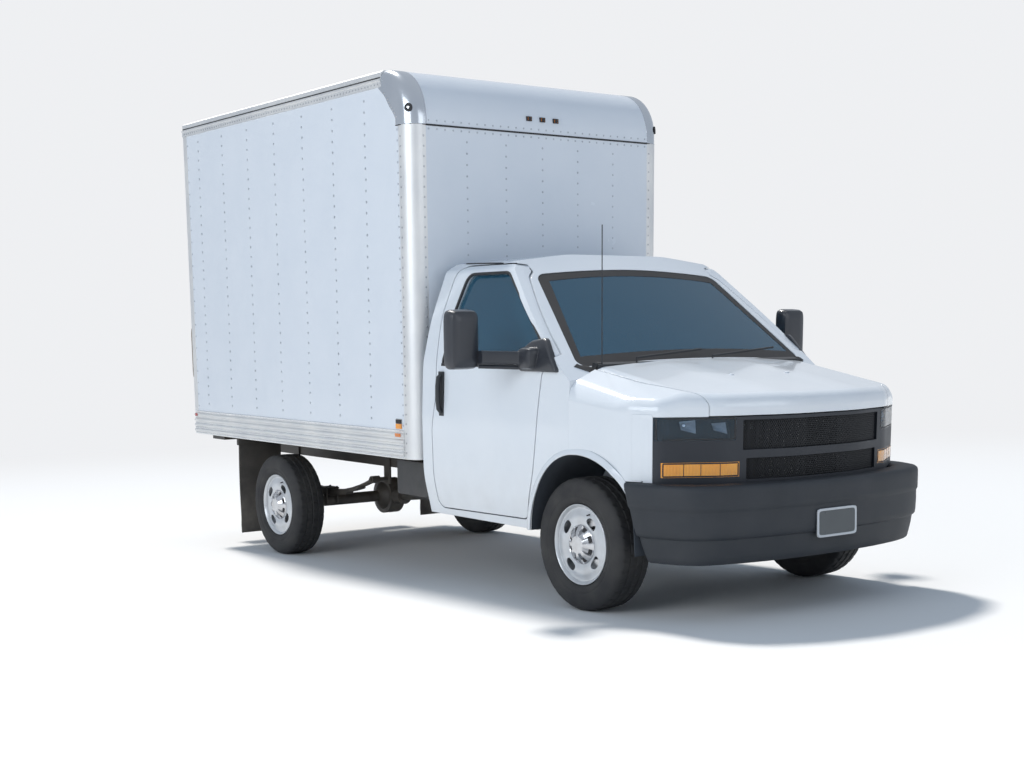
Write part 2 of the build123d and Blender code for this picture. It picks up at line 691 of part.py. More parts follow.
# Front fascia: one black frame with lamp pockets and two mesh bands
FASCIA_DEPTH = 60
fascia_skin = (nose_solid(1, 0, 380) - nose_solid(FASCIA_DEPTH, 30, 300)) & plan(
    [(FASCIA_BACK + 3, -1100), (1100, -1100), (1100, 1100), (FASCIA_BACK + 3, 1100)],
    FASCIA_BOTTOM + 3, FASCIA_TOP - 2)
LAMP_SPOTS = (  # name, inner half width, outer half width, bottom, top
    ("headlight", 560, 1000, 958, FASCIA_TOP),
    ("turn_signal", 540, 898, 770, 846),
)
lamps = []
for spot_name, inner_y, outer_y, low_z, high_z in LAMP_SPOTS:
    for sign in (-1, 1):
        y0, y1 = sorted((sign * inner_y, sign * outer_y))
        pocket = block(400, 1100, y0, y1, low_z, high_z)
        lens = fascia_skin & pocket
        lens -= nose_solid(46, 0, 380)
        lamps.append(lens)
        fascia_skin -= pocket - nose_solid(46, 0, 380)
BANDS = ((905, 1058, 520), (752, 862, 500))  # bottom, top, half width
for low_z, high_z, half_y in BANDS:
    recess = block(600, 1100, -half_y, half_y, low_z, high_z)
    fascia_skin -= recess - nose_solid(18, 0, 380)
    fascia_skin -= (recess & nose_solid(36, 0, 380))
BAR_COUNT = 22
for low_z, high_z, half_y in BANDS:
    for i in range(BAR_COUNT):
        y = -half_y + 2 * half_y * (i + 0.5) / BAR_COUNT
        fascia_skin -= block(600, 1100, y - 15, y + 15, low_z + 10, (low_z + high_z) / 2 - 5)
        fascia_skin -= block(600, 1100, y - 15, y + 15, (low_z + high_z) / 2 + 5, high_z - 10)
body_node("grille", fascia_skin)
body_node("front_lamps", group(lamps))


def bumper_plan(inset):
    right = [
        (ARCH_FRONT + 4, -(996 - inset)), (520, -(996 - inset), 160), (800 - inset, -(880 - inset), 240),
        (BUMPER_FRONT - inset, -400, 900),
    ]
    return right + [(p[0], -p[1]) + tuple(p[2:]) for p in reversed(right)]


bumper = plan(bumper_plan(0), BUMPER_BOTTOM, BUMPER_TOP - 18)
bumper &= side([(300, BUMPER_BOTTOM, 4), (520, BUMPER_BOTTOM), (BUMPER_FRONT - 60, BUMPER_BOTTOM),
                (BUMPER_FRONT - 18, 430, 40), (BUMPER_FRONT, 600, 60), (BUMPER_FRONT, BUMPER_TOP - 18, 30),
                (300, BUMPER_TOP - 18)], -1100, 1100)
bumper -= plan(bumper_plan(BUMPER_WALL), BUMPER_BOTTOM - 5, BUMPER_TOP - 40)
bumper -= block(440, 650, -900, 900, BUMPER_BOTTOM - 5, BUMPER_TOP)
bumper -= nose_solid(-4, 0, 380) & block(300, 1100, -1100, 1100, BUMPER_TOP - 45, 2000)
PLATE_Z = 510
PLATE_THICK = 8
plate_face = to_ground(BUMPER_FRONT, PLATE_Z)[0] + 4
plate_mid = to_ground(BUMPER_FRONT, PLATE_Z)[1]


def plate_block(grow, x0, x1):
    half_w, half_h = PLATE_SIZE[0] / 2 + grow, PLATE_SIZE[1] / 2 + grow
    return block(x0, x1, -half_w, half_w, plate_mid - half_h, plate_mid + half_h)


plate = plate_block(0, plate_face - PLATE_THICK, plate_face)
for y in (-PLATE_HOLES[0] / 2, PLATE_HOLES[0] / 2):
    for z in (-PLATE_HOLES[1] / 2, PLATE_HOLES[1] / 2):
        plate -= rod((plate_face - 30, y, plate_mid + z), (plate_face + 10, y, plate_mid + z), PLATE_HOLE_R)
ground_node("front_plate", plate)
bumper -= Rot(0, -RAKE, 0) * plate_block(4, plate_face - PLATE_THICK, plate_face + 40)
body_node("front_bumper", bumper)

# Cowl with wipers and the antenna mast, between the hood and the windshield
cowl = side([(FIREWALL - 62, COWL_Z - 70), (FIREWALL + 10, COWL_Z - 70), (FIREWALL + 10, COWL_Z - 6),
             (FIREWALL - 20, COWL_Z + 4, 10), (FIREWALL - 40, COWL_Z + 4)], -800, 800)
for y0, y1 in ((-560, 10), (20, 600)):
    foot = (FIREWALL + 3, y0 + 40)
    cowl += rod((*foot, COWL_Z - 20), (*foot, COWL_Z + 30), 5)
    cowl += rod((*foot, COWL_Z + 26), (FIREWALL - 40, y1, COWL_Z + 64), 6)
mast = (FIREWALL + 3, -770)
cowl += rod((*mast, COWL_Z - 30), (*mast, COWL_Z + 12), 5)
cowl += rod((*mast, COWL_Z), (*mast, 2072), 3)
cowl = max((cowl - cab_outer).solids(), key=lambda s: s.volume)
body_node("cowl_panel", cowl)


# Cab interior

def dashboard():
    shape = side([(-165, 925, 20), (-165, 1232, 30), (-330, 1275, 60), (-470, 1230, 50), (-480, 1110, 40),
                  (-405, 970, 50), (-395, 925, 12)], -860, 860)
    shape -= side([(-120, 880), (-120, 1208), (-320, 1245, 40), (-440, 1200, 40), (-445, 1120, 40),
                   (-372, 965, 50), (-365, 880)], -840, 840)
    console = side([(-372, HUMP_TOP + 1), (-372, 1080), (-636, 1010, 30), (-636, HUMP_TOP + 1)], -180, 180)
    return shape + console - block(-700, 0, -HUMP_Y - 2, HUMP_Y + 2, 500, HUMP_TOP + 1)


WHEEL_CENTRE = Vector(-600, SEAT_Y, 1165)
COLUMN_TILT = 30
WHEEL_RIM_R = 185
steer_plane = Plane(origin=WHEEL_CENTRE, x_dir=(0, 1, 0),
                    z_dir=(-math.cos(math.radians(COLUMN_TILT)), 0, math.sin(math.radians(COLUMN_TILT))))


def steering_wheel():
    section = Plane.XZ * Pos(WHEEL_RIM_R, 0) * RegularPolygon(15, 8)
    shape = revolve(section, axis=Axis.Z) + Pos(0, 0, -20) * Cylinder(46, 40)
    for angle in (0, 180, 270):
        shape += Rot(0, 0, angle) * Pos(110, 0, -10) * Box(160, 34, 12)
    shape += Pos(0, 0, -60) * Cylinder(14, 60)
    return steer_plane * shape


column = steer_plane * (Pos(0, 0, -150) * Cylinder(38, 120))
dash = (dashboard() + column) - steer_plane * (Pos(0, 0, -120) * Cylinder(14.6, 140))
body_node("dashboard", dash)
body_node("steering_wheel", steering_wheel())


def seat(y):
    cushion = block(-1230, -760, y - 245, y + 245, 860, 990)
    cushion = fillet(cushion.edges(), 45)
    back = side([(-1240, 995, 30), (-1120, 995, 40), (-1270, 1560, 30), (-1370, 1560, 30)],
                y - 240, y + 240)
    base = block(-1200, -800, y - 200, y + 200, CAB_FLOOR + 0.5, 859.5)
    base -= block(-1180, -820, y - 210, y + 210, CAB_FLOOR + 60, 830)
    head = block(-1385, -1285, y - 120, y + 120, 1580, 1740)
    head = fillet(head.edges(), 30)
    posts = rod((-1325, y - 60, 1550), (-1325, y - 60, 1600), 6)
    posts += rod((-1325, y + 60, 1550), (-1325, y + 60, 1600), 6)
    return cushion, back + head + posts, base


seat_parts = [seat(SEAT_Y), seat(-SEAT_Y)]
body_node("seat_cushions", group([p[0] for p in seat_parts]))
body_node("seat_backs", group([p[1] for p in seat_parts]))
body_node("seat_bases", group([p[2] for p in seat_parts]))


# Box body

IN = BOX_HALF_WIDTH - WALL
FLOOR_TOP = RUB_RAIL_TOP - 10
CAP_BACK = BOX_FRONT - CAP_R
REAR_WALL_X = BOX_REAR + REAR_POST_DEPTH


def box_side():
    """Left side wall: outer skin with hat ribs inside, cut to the corner casting's curve."""
    sheet = side(side_wall_shape(), BOX_HALF_WIDTH - SKIN, BOX_HALF_WIDTH)
    x0, x1 = REAR_WALL_X + 30, BOX_FRONT - POST_WIDTH - 30
    ribs = None
    for i in range(SIDE_RIBS):
        x = x0 + (x1 - x0) * i / (SIDE_RIBS - 1)
        rib = block(x - RIB_WIDTH / 2, x + RIB_WIDTH / 2, IN, BOX_HALF_WIDTH - SKIN,
                    FLOOR_TOP + 0.5, TOP_RAIL_BOTTOM)
        ribs = rib if ribs is None else ribs + rib
    return sheet + (ribs & side(side_wall_shape(), 0, 1100))


def side_wall_shape():
    return [
        (REAR_WALL_X, FLOOR_TOP + 0.5), (BOX_FRONT - POST_WIDTH, FLOOR_TOP + 0.5),
        (BOX_FRONT - POST_WIDTH, CAP_BOTTOM + 30, 190), (CAP_BACK - 20, TOP_RAIL_BOTTOM, 60),
        (CAP_BACK - 60, TOP_RAIL_BOTTOM), (REAR_WALL_X, TOP_RAIL_BOTTOM),
    ]


for hand, place in HANDS:
    body_node(f"box_side_{hand}", place(box_side()))

FRONT_IN = BOX_HALF_WIDTH - POST_WIDTH
front_wall = block(BOX_FRONT - SKIN, BOX_FRONT, -FRONT_IN, FRONT_IN, FLOOR_TOP + 0.5, CAP_BOTTOM)
for i in range(FRONT_RIBS):
    y = -FRONT_IN + RIB_WIDTH / 2 + (2 * FRONT_IN - RIB_WIDTH) * i / (FRONT_RIBS - 1)
    front_wall += block(BOX_FRONT - WALL, BOX_FRONT - SKIN, y - RIB_WIDTH / 2, y + RIB_WIDTH / 2,
                        FLOOR_TOP + 0.5, CAP_BOTTOM)
body_node("box_front_wall", front_wall)


def cap_profile(inset):
    r = CAP_R - inset
    return [
        (BOX_FRONT - inset, CAP_BOTTOM), (BOX_FRONT - inset, BOX_TOP - inset, r),
        (CAP_BACK, BOX_TOP - inset),
    ]


def cap_band(y0, y1, thick):
    outer = side(cap_profile(0) + [(CAP_BACK, CAP_BOTTOM)], y0, y1)
    return outer - side(cap_profile(thick) + [(CAP_BACK - 1, BOX_TOP - thick), (CAP_BACK - 1, CAP_BOTTOM - 1),
                                              (BOX_FRONT - thick, CAP_BOTTOM - 1)], y0 - 1, y1 + 1)


body_node("front_cap", cap_band(-FRONT_IN, FRONT_IN, 26))


def corner_post():
    post = plan([(BOX_FRONT - POST_WIDTH, BOX_HALF_WIDTH), (BOX_FRONT - POST_WIDTH, IN),
                 (BOX_FRONT - WALL - 30, IN, 20), (BOX_FRONT - WALL, IN - 30, 20),
                 (BOX_FRONT - WALL, FRONT_IN), (BOX_FRONT, FRONT_IN),
                 (BOX_FRONT, BOX_HALF_WIDTH, POST_CORNER_R)], BOX_BOTTOM, CAP_BOTTOM)
    return post


def roof_casting():
    """Corner casting: the cap's curve carried round to the side wall."""
    outer = side(cap_profile(0) + [(CAP_BACK, CAP_BOTTOM)], FRONT_IN, BOX_HALF_WIDTH)
    edge = front([(FRONT_IN - 1, CAP_BOTTOM - 1), (BOX_HALF_WIDTH, CAP_BOTTOM - 1),
                  (BOX_HALF_WIDTH, BOX_TOP, 70), (FRONT_IN - 1, BOX_TOP)], CAP_BACK - 1, BOX_FRONT + 1)
    post_edge = plan([(CAP_BACK - 1, FRONT_IN - 1), (BOX_FRONT, FRONT_IN - 1),
                      (BOX_FRONT, BOX_HALF_WIDTH, POST_CORNER_R), (CAP_BACK - 1, BOX_HALF_WIDTH)],
                     CAP_BOTTOM - 1, BOX_TOP + 1)
    outer = outer & edge & post_edge
    inner = side(cap_profile(30) + [(CAP_BACK - 1, BOX_TOP - 30), (CAP_BACK - 1, CAP_BOTTOM - 1),
                                    (BOX_FRONT - 30, CAP_BOTTOM - 1)], FRONT_IN - 1, IN)
    return outer - inner - side(side_wall_shape(), FRONT_IN - 1, 1100)


corner = [corner_post(), roof_casting()]
body_node("corner_posts", both_sides(corner[0]))
body_node("roof_castings", both_sides(corner[1]))

RAIL_OUT = 6


def top_rail():
    return front([
        (BOX_HALF_WIDTH, TOP_RAIL_BOTTOM + 0.5), (BOX_HALF_WIDTH + RAIL_OUT, TOP_RAIL_BOTTOM + 0.5),
        (BOX_HALF_WIDTH + RAIL_OUT, TOP_RAIL_LIP), (BOX_HALF_WIDTH + RAIL_OUT + 6, TOP_RAIL_LIP + 4),
        (BOX_HALF_WIDTH + RAIL_OUT + 6, TOP_RAIL_LIP + 12), (BOX_HALF_WIDTH + 2, TOP_RAIL_LIP + 14),
        (BOX_HALF_WIDTH + 2, BOX_TOP - 12, 6), (BOX_HALF_WIDTH - 20, BOX_TOP, 10),
        (IN, BOX_TOP), (IN, TOP_RAIL_BOTTOM + 0.5),
    ], BOX_REAR, CAP_BACK - 0.5)


body_node("top_rails", both_sides(top_rail()))

roof = block(REAR_WALL_X, CAP_BACK - 0.5, -IN + 0.5, IN - 0.5, BOX_TOP - SKIN, BOX_TOP)
BOWS = 7
for i in range(BOWS):
    x = REAR_WALL_X + 40 + (CAP_BACK - REAR_WALL_X - 80) * i / (BOWS - 1)
    roof += block(x - 20, x + 20, -IN + 0.5, IN - 0.5, BOX_TOP - WALL, BOX_TOP - SKIN)
body_node("box_roof", roof)

floor = block(REAR_WALL_X, BOX_FRONT - WALL - 0.5, -IN + 0.5, IN - 0.5, FLOOR_TOP - FLOOR_THICK, FLOOR_TOP)
SILLS = 10
for i in range(SILLS):
    x = REAR_WALL_X + 60 + (BOX_LENGTH - 300) * i / (SILLS - 1)
    floor += block(x - 22, x + 22, -IN + 0.5, IN - 0.5, FLOOR_TOP - FLOOR_THICK - 76, FLOOR_TOP - FLOOR_THICK)
for s in (-1, 1):
    y0, y1 = sorted((s * (RAIL_Y - RAIL_FLANGE), s * RAIL_Y))
    floor += block(REAR_WALL_X, BOX_FRONT - WALL - 0.5, y0, y1, RAIL_TOP_REAR + 0.5,
                   FLOOR_TOP - FLOOR_THICK - 70)
notch = block(BOX_FRONT - WALL - 40, BOX_FRONT, IN - 40, IN, BOX_BOTTOM - 10, FLOOR_TOP + 10)
body_node("load_floor", floor - notch - other_side(notch))


def rub_rail():
    """Ribbed aluminium side rail below the wall, with four rounded ribs along it."""
    z0, z1 = BOX_BOTTOM, RUB_RAIL_TOP
    height = z1 - z0
    points = [(IN + 0.5, z0), (BOX_HALF_WIDTH + 3, z0)]
    ribs = 4
    for i in range(ribs):
        low = z0 + 12 + (height - 24) * i / ribs
        high = z0 + 12 + (height - 24) * (i + 1) / ribs
        points += [(BOX_HALF_WIDTH + 3, low + 4), (BOX_HALF_WIDTH + 12, low + 12, 5),
                   (BOX_HALF_WIDTH + 12, high - 14, 5), (BOX_HALF_WIDTH + 3, high - 6)]
    points += [(BOX_HALF_WIDTH + 3, z1), (BOX_HALF_WIDTH + 0.4, z1), (BOX_HALF_WIDTH + 0.4, FLOOR_TOP),
               (IN + 0.5, FLOOR_TOP)]
    return front(points, BOX_REAR + 6, BOX_FRONT - POST_WIDTH - 0.5)


body_node("rub_rails", both_sides(rub_rail()))

# Rear frame: posts, header and sill round the roll-up door
DOOR_Y = BOX_HALF_WIDTH - 75
DOOR_TOP = BOX_TOP - 150
rear_frame = block(BOX_REAR, REAR_WALL_X - 0.5, -BOX_HALF_WIDTH, BOX_HALF_WIDTH, FLOOR_TOP + 0.5,
                   TOP_RAIL_BOTTOM)
rear_frame += block(BOX_REAR, REAR_WALL_X - 0.5, -IN + 0.5, IN - 0.5, TOP_RAIL_BOTTOM, BOX_TOP)
rear_frame -= block(BOX_REAR - 1, REAR_WALL_X, -DOOR_Y, DOOR_Y, FLOOR_TOP, DOOR_TOP)
rear_frame += block(BOX_REAR, REAR_WALL_X - 0.5, -IN + 0.5, IN - 0.5, BOX_BOTTOM, FLOOR_TOP + 0.5)
body_node("rear_frame", rear_frame)

SLATS = 8
rear_door = None
slat = (DOOR_TOP - FLOOR_TOP - 2) / SLATS
for i in range(SLATS):
    z = FLOOR_TOP + 1 + slat * i
    panel = side([(BOX_REAR + 28, z), (BOX_REAR + 28, z + slat), (BOX_REAR + 8, z + slat),
                  (BOX_REAR + 4, z + slat - 8), (BOX_REAR + 4, z + 8), (BOX_REAR + 8, z)],
                 -DOOR_Y + 1, DOOR_Y - 1)
    rear_door = panel if rear_door is None else rear_door + panel
handle_z = FLOOR_TOP + slat * 0.5
rear_door += block(BOX_REAR - 14, BOX_REAR + 5, -70, 70, handle_z - 45, handle_z + 45)
body_node("rear_door", rear_door)

# Step bumper behind the box
step = block(BUMPER_REAR, BOX_REAR - 20, -760, 760, 650, 690)
step -= block(BUMPER_REAR + 12, BOX_REAR - 32, -748, 748, 640, 680)
for s in (-1, 1):
    y0, y1 = sorted((s * (RAIL_Y - RAIL_WEB - 70), s * (RAIL_Y - RAIL_WEB - 2)))
    step += side([(BUMPER_REAR + 40, 655), (BOX_REAR - 40, 560), (BOX_REAR + 44, 560), (BOX_REAR + 44, 690),
                  (BUMPER_REAR + 40, 690)], y0, y1)
step -= Pos(BUMPER_REAR + 70, 0, 685) * Cylinder(TOW_HOLE_R, 40)
body_node("rear_bumper", step - rear_frame)

flap_x = to_body(-WHEELBASE - 420, 0)[0]
flaps = []
for s in (-1, 1):
    y0, y1 = sorted((s * 640, s * (BOX_HALF_WIDTH - 20)))
    flap = block(flap_x - 10, flap_x, y0, y1, 130, BOX_BOTTOM - 10)
    flap += block(flap_x - 30, flap_x - 10, y0, y1, BOX_BOTTOM - 50, BOX_BOTTOM - 10)
    flaps.append(flap)
body_node("mud_flaps", group(flaps))

# Lamps of the box: roof markers, casting lamps, side markers and tail lamps
small = []
for y in (-107, 0, 107):
    small.append(Pos(BOX_FRONT + 4.3, y, CAP_BOTTOM + 88) * Box(8, 26, 18))
for s in (-1, 1):
    small.append(rod((BOX_REAR - 12, s * 560, 790), (BOX_REAR - 0.5, s * 560, 790), 52))
    small.append(rod((BOX_REAR - 12, s * 690, 790), (BOX_REAR - 0.5, s * 690, 790), 52))
    y0, y1 = sorted((s * (BOX_HALF_WIDTH + 12.5), s * (BOX_HALF_WIDTH + 17)))
    small.append(block(BOX_REAR + 30, BOX_REAR + 62, y0, y1, RUB_RAIL_TOP - 44, RUB_RAIL_TOP - 22))
    small.append(block(BOX_FRONT - 210, BOX_FRONT - 150, y0, y1, RUB_RAIL_TOP - 44, RUB_RAIL_TOP - 22))
body_node("marker_lamps", group(small))

# Battery box and step below the front of the box
battery = block(-2000, -1640, -880, -500, 470, 690)
battery = fillet(battery.edges().filter_by(Axis.Y), 20)
hanger = block(-1960, -1930, -500, -RAIL_Y, 600, 660) + block(-1710, -1680, -500, -RAIL_Y, 600, 660)
body_node("battery_box", battery + hanger)

os.makedirs("parts", exist_ok=True)
for name, shape in nodes.items():
    export_step(shape, f"parts/{name}.step")
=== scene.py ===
import json
import math
import random

import bmesh
import bpy
from mathutils import Matrix, Vector
from mathutils.bvhtree import BVHTree


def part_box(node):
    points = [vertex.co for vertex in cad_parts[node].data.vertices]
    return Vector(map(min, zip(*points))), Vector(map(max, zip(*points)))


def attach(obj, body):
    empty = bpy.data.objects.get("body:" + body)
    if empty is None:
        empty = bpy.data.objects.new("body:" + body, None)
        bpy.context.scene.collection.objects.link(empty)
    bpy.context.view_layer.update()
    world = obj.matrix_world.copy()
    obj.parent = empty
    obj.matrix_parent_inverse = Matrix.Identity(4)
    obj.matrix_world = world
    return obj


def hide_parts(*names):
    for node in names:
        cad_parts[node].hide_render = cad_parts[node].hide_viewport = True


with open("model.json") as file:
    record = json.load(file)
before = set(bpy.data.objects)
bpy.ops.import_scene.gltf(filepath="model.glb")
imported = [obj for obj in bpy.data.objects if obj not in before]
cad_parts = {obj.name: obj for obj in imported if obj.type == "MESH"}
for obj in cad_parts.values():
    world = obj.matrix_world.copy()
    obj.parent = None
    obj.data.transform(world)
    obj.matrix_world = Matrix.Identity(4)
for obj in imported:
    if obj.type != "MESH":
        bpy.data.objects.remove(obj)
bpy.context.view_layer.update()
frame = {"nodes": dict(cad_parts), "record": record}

random.seed(7)
NODES = frame["nodes"]
SIDES = ((-1, "right"), (1, "left"))
AHEAD, BACK, UP, DOWN = (1, 0, 0), (-1, 0, 0), (0, 0, 1), (0, 0, -1)

# The level body of the truck is raked nose-down in the frame.
RAKE = math.radians(1.766)
FRONT_X, REAR_X = 2.01452, -1.51648
WHEEL_Y, WHEEL_Z = 0.868, 0.366
WHEELS = [(f"{axle}_{hand}", x, s) for axle, x in (("front", FRONT_X), ("rear", REAR_X))
          for hand, s in (("left", 1), ("right", -1))]


def body_way(x, y, z):
    """A direction of the level body in the frame."""
    return Vector((x * math.cos(RAKE) + z * math.sin(RAKE), y, z * math.cos(RAKE) - x * math.sin(RAKE)))


def body_point(x, y, z):
    """A point of the level body, in millimetres, as frame metres."""
    x, y, z = x / 1000, y / 1000, z / 1000
    return Vector((x * math.cos(RAKE) + z * math.sin(RAKE) + FRONT_X, y,
                   z * math.cos(RAKE) - x * math.sin(RAKE)))


def metres(x, y, z):
    """A point of the frame, in millimetres, as frame metres."""
    return x / 1000, y / 1000, z / 1000


def unchanged(x, y, z):
    return x, y, z


# Shader nodes

def feed(tree, node, inputs):
    """Sets inputs by name or number: with a value, an output, or a node, which gives its first output."""
    for key, value in inputs.items():
        if isinstance(value, bpy.types.Node):
            value = value.outputs[0]
        if isinstance(value, bpy.types.NodeSocket):
            tree.links.new(value, node.inputs[key])
        else:
            node.inputs[key].default_value = value


def add(tree, kind, inputs=(), **settings):
    node = tree.nodes.new("ShaderNode" + kind)
    for key, value in settings.items():
        setattr(node, key, value)
    feed(tree, node, dict(inputs))
    return node


def ramp(tree, share, first, second, start=0.0, end=1.0, kind="LINEAR"):
    """Colour from the first at start to the second at end."""
    node = add(tree, "ValToRGB", {"Fac": share})
    node.color_ramp.interpolation = kind
    for stop, place, colour in zip(node.color_ramp.elements, (start, end), (first, second)):
        stop.position, stop.color = place, (*colour, 1)
    return node


def relief(tree, height, strength, distance=0.002):
    return add(tree, "Bump", {"Height": height, "Strength": strength, "Distance": distance})


def noise(tree, place, scale, detail):
    return add(tree, "TexNoise", {"Vector": place, "Scale": scale, "Detail": detail})


def bands(tree, place, way, scale, distortion=0.0):
    inputs = {"Vector": place, "Scale": scale, "Distortion": distortion}
    return add(tree, "TexWave", inputs, bands_direction=way).outputs["Fac"]


def new_material(name):
    """A material, its tree, and the places of its points in the frame."""
    m = bpy.data.materials.new(name)
    m.use_nodes = True
    return m, m.node_tree, add(m.node_tree, "TexCoord").outputs["Object"]


def along(tree, place, axis):
    return add(tree, "SeparateXYZ", {"Vector": place}).outputs[axis]


def material(name, base, second, rough, metal, bump, grain, blotch=3.0, rough_span=0.12, bevel=0.0, coat=0.0,
             dust=0.0, wave=None, ends=None):
    """A procedural finish: two tones in blotches, uneven gloss, grain, soft edges, road dust low down."""
    m, tree, place = new_material(name)
    patches = noise(tree, place, blotch, 6)
    colour = ramp(tree, patches, second, base, 0.325, 0.675)
    if dust:
        fall = add(tree, "MapRange", {"Value": along(tree, place, "Z"), "From Min": 0.95, "From Max": 0.25,
                                      "To Max": dust})
        share = add(tree, "Math", {0: fall, 1: noise(tree, place, 9, 8)}, operation="MULTIPLY")
        colour = add(tree, "MixRGB", {"Fac": share, "Color1": colour, "Color2": (0.36, 0.32, 0.27, 1)})
    if ends:
        # one tone for the rear lamps and another for the front markers
        share = add(tree, "MapRange", {"Value": along(tree, place, "X"), "From Min": -3.0, "From Max": 0.6})
        tone = ramp(tree, share, *ends, 0.0, 0.5, "CONSTANT")
        colour = add(tree, "MixRGB", {"Fac": 1.0, "Color1": tone, "Color2": colour}, blend_type="MULTIPLY")
    gloss = add(tree, "MapRange", {"Value": patches, "To Min": max(0.02, rough - rough_span / 2),
                                   "To Max": rough + rough_span / 2})
    skin = first = relief(tree, noise(tree, place, grain, 4), bump)
    if wave:
        way, scale, strength, *distortion = wave
        first = relief(tree, bands(tree, place, way, scale, *distortion), strength, 0.003)
        feed(tree, skin, {"Normal": first})
    if bevel:
        feed(tree, first, {"Normal": add(tree, "Bevel", {"Radius": bevel}, samples=4)})
    feed(tree, tree.nodes["Principled BSDF"], {
        "Base Color": colour, "Roughness": gloss, "Metallic": metal, "Coat Weight": coat,
        "Coat Roughness": 0.06, "Normal": skin})
    return m


def see_through(name, tint, painted_sky_share=0.04):
    """Thin tinted glass: mostly clear, mirror-like at a slant, with faint smears and a painted blue sky
    reflection mixed in as flat diffuse blue.
    """
    m, tree, place = new_material(name)
    tree.nodes.remove(tree.nodes["Principled BSDF"])
    smears = noise(tree, place, 5, 6)
    clear = add(tree, "BsdfTransparent", {"Color": ramp(tree, smears, [c * 0.94 for c in tint], tint)})
    # painted sky reflection: a flat diffuse blue, mixed into the clear glass
    painted_sky_blue = add(tree, "BsdfDiffuse", {"Color": (0.10, 0.38, 0.62, 1)})
    glass_with_painted_sky = add(tree, "MixShader", {"Fac": painted_sky_share, 1: clear, 2: painted_sky_blue})
    gloss = add(tree, "BsdfGlossy", {
        "Roughness": add(tree, "MapRange", {"Value": smears, "To Min": 0.02, "To Max": 0.07}),
        "Normal": relief(tree, smears, 0.02)})
    slant = add(tree, "Fresnel", {"IOR": 1.5})
    feed(tree, tree.nodes["Material Output"], {
        "Surface": add(tree, "MixShader", {"Fac": slant, 1: glass_with_painted_sky, 2: gloss})})
    return m


def two_lenses(name, split):
    """The lamp lenses of the nose: clear above a height in the frame, ribbed amber below it."""
    m = see_through(name, (0.62, 0.70, 0.78))
    tree = m.node_tree
    out = tree.nodes["Material Output"]
    clear = out.inputs["Surface"].links[0].from_socket
    place = add(tree, "TexCoord").outputs["Object"]
    amber = add(tree, "BsdfPrincipled", {
        "Base Color": ramp(tree, noise(tree, place, 12, 2), (0.80, 0.27, 0.012), (0.98, 0.42, 0.03)),
        "Roughness": 0.18, "Coat Weight": 0.6, "Normal": relief(tree, bands(tree, place, "Y", 22), 0.5)})
    above = add(tree, "Math", {0: along(tree, place, "Z"), 1: split}, operation="GREATER_THAN")
    feed(tree, out, {"Surface": add(tree, "MixShader", {"Fac": above, 1: amber, 2: clear})})
    return m


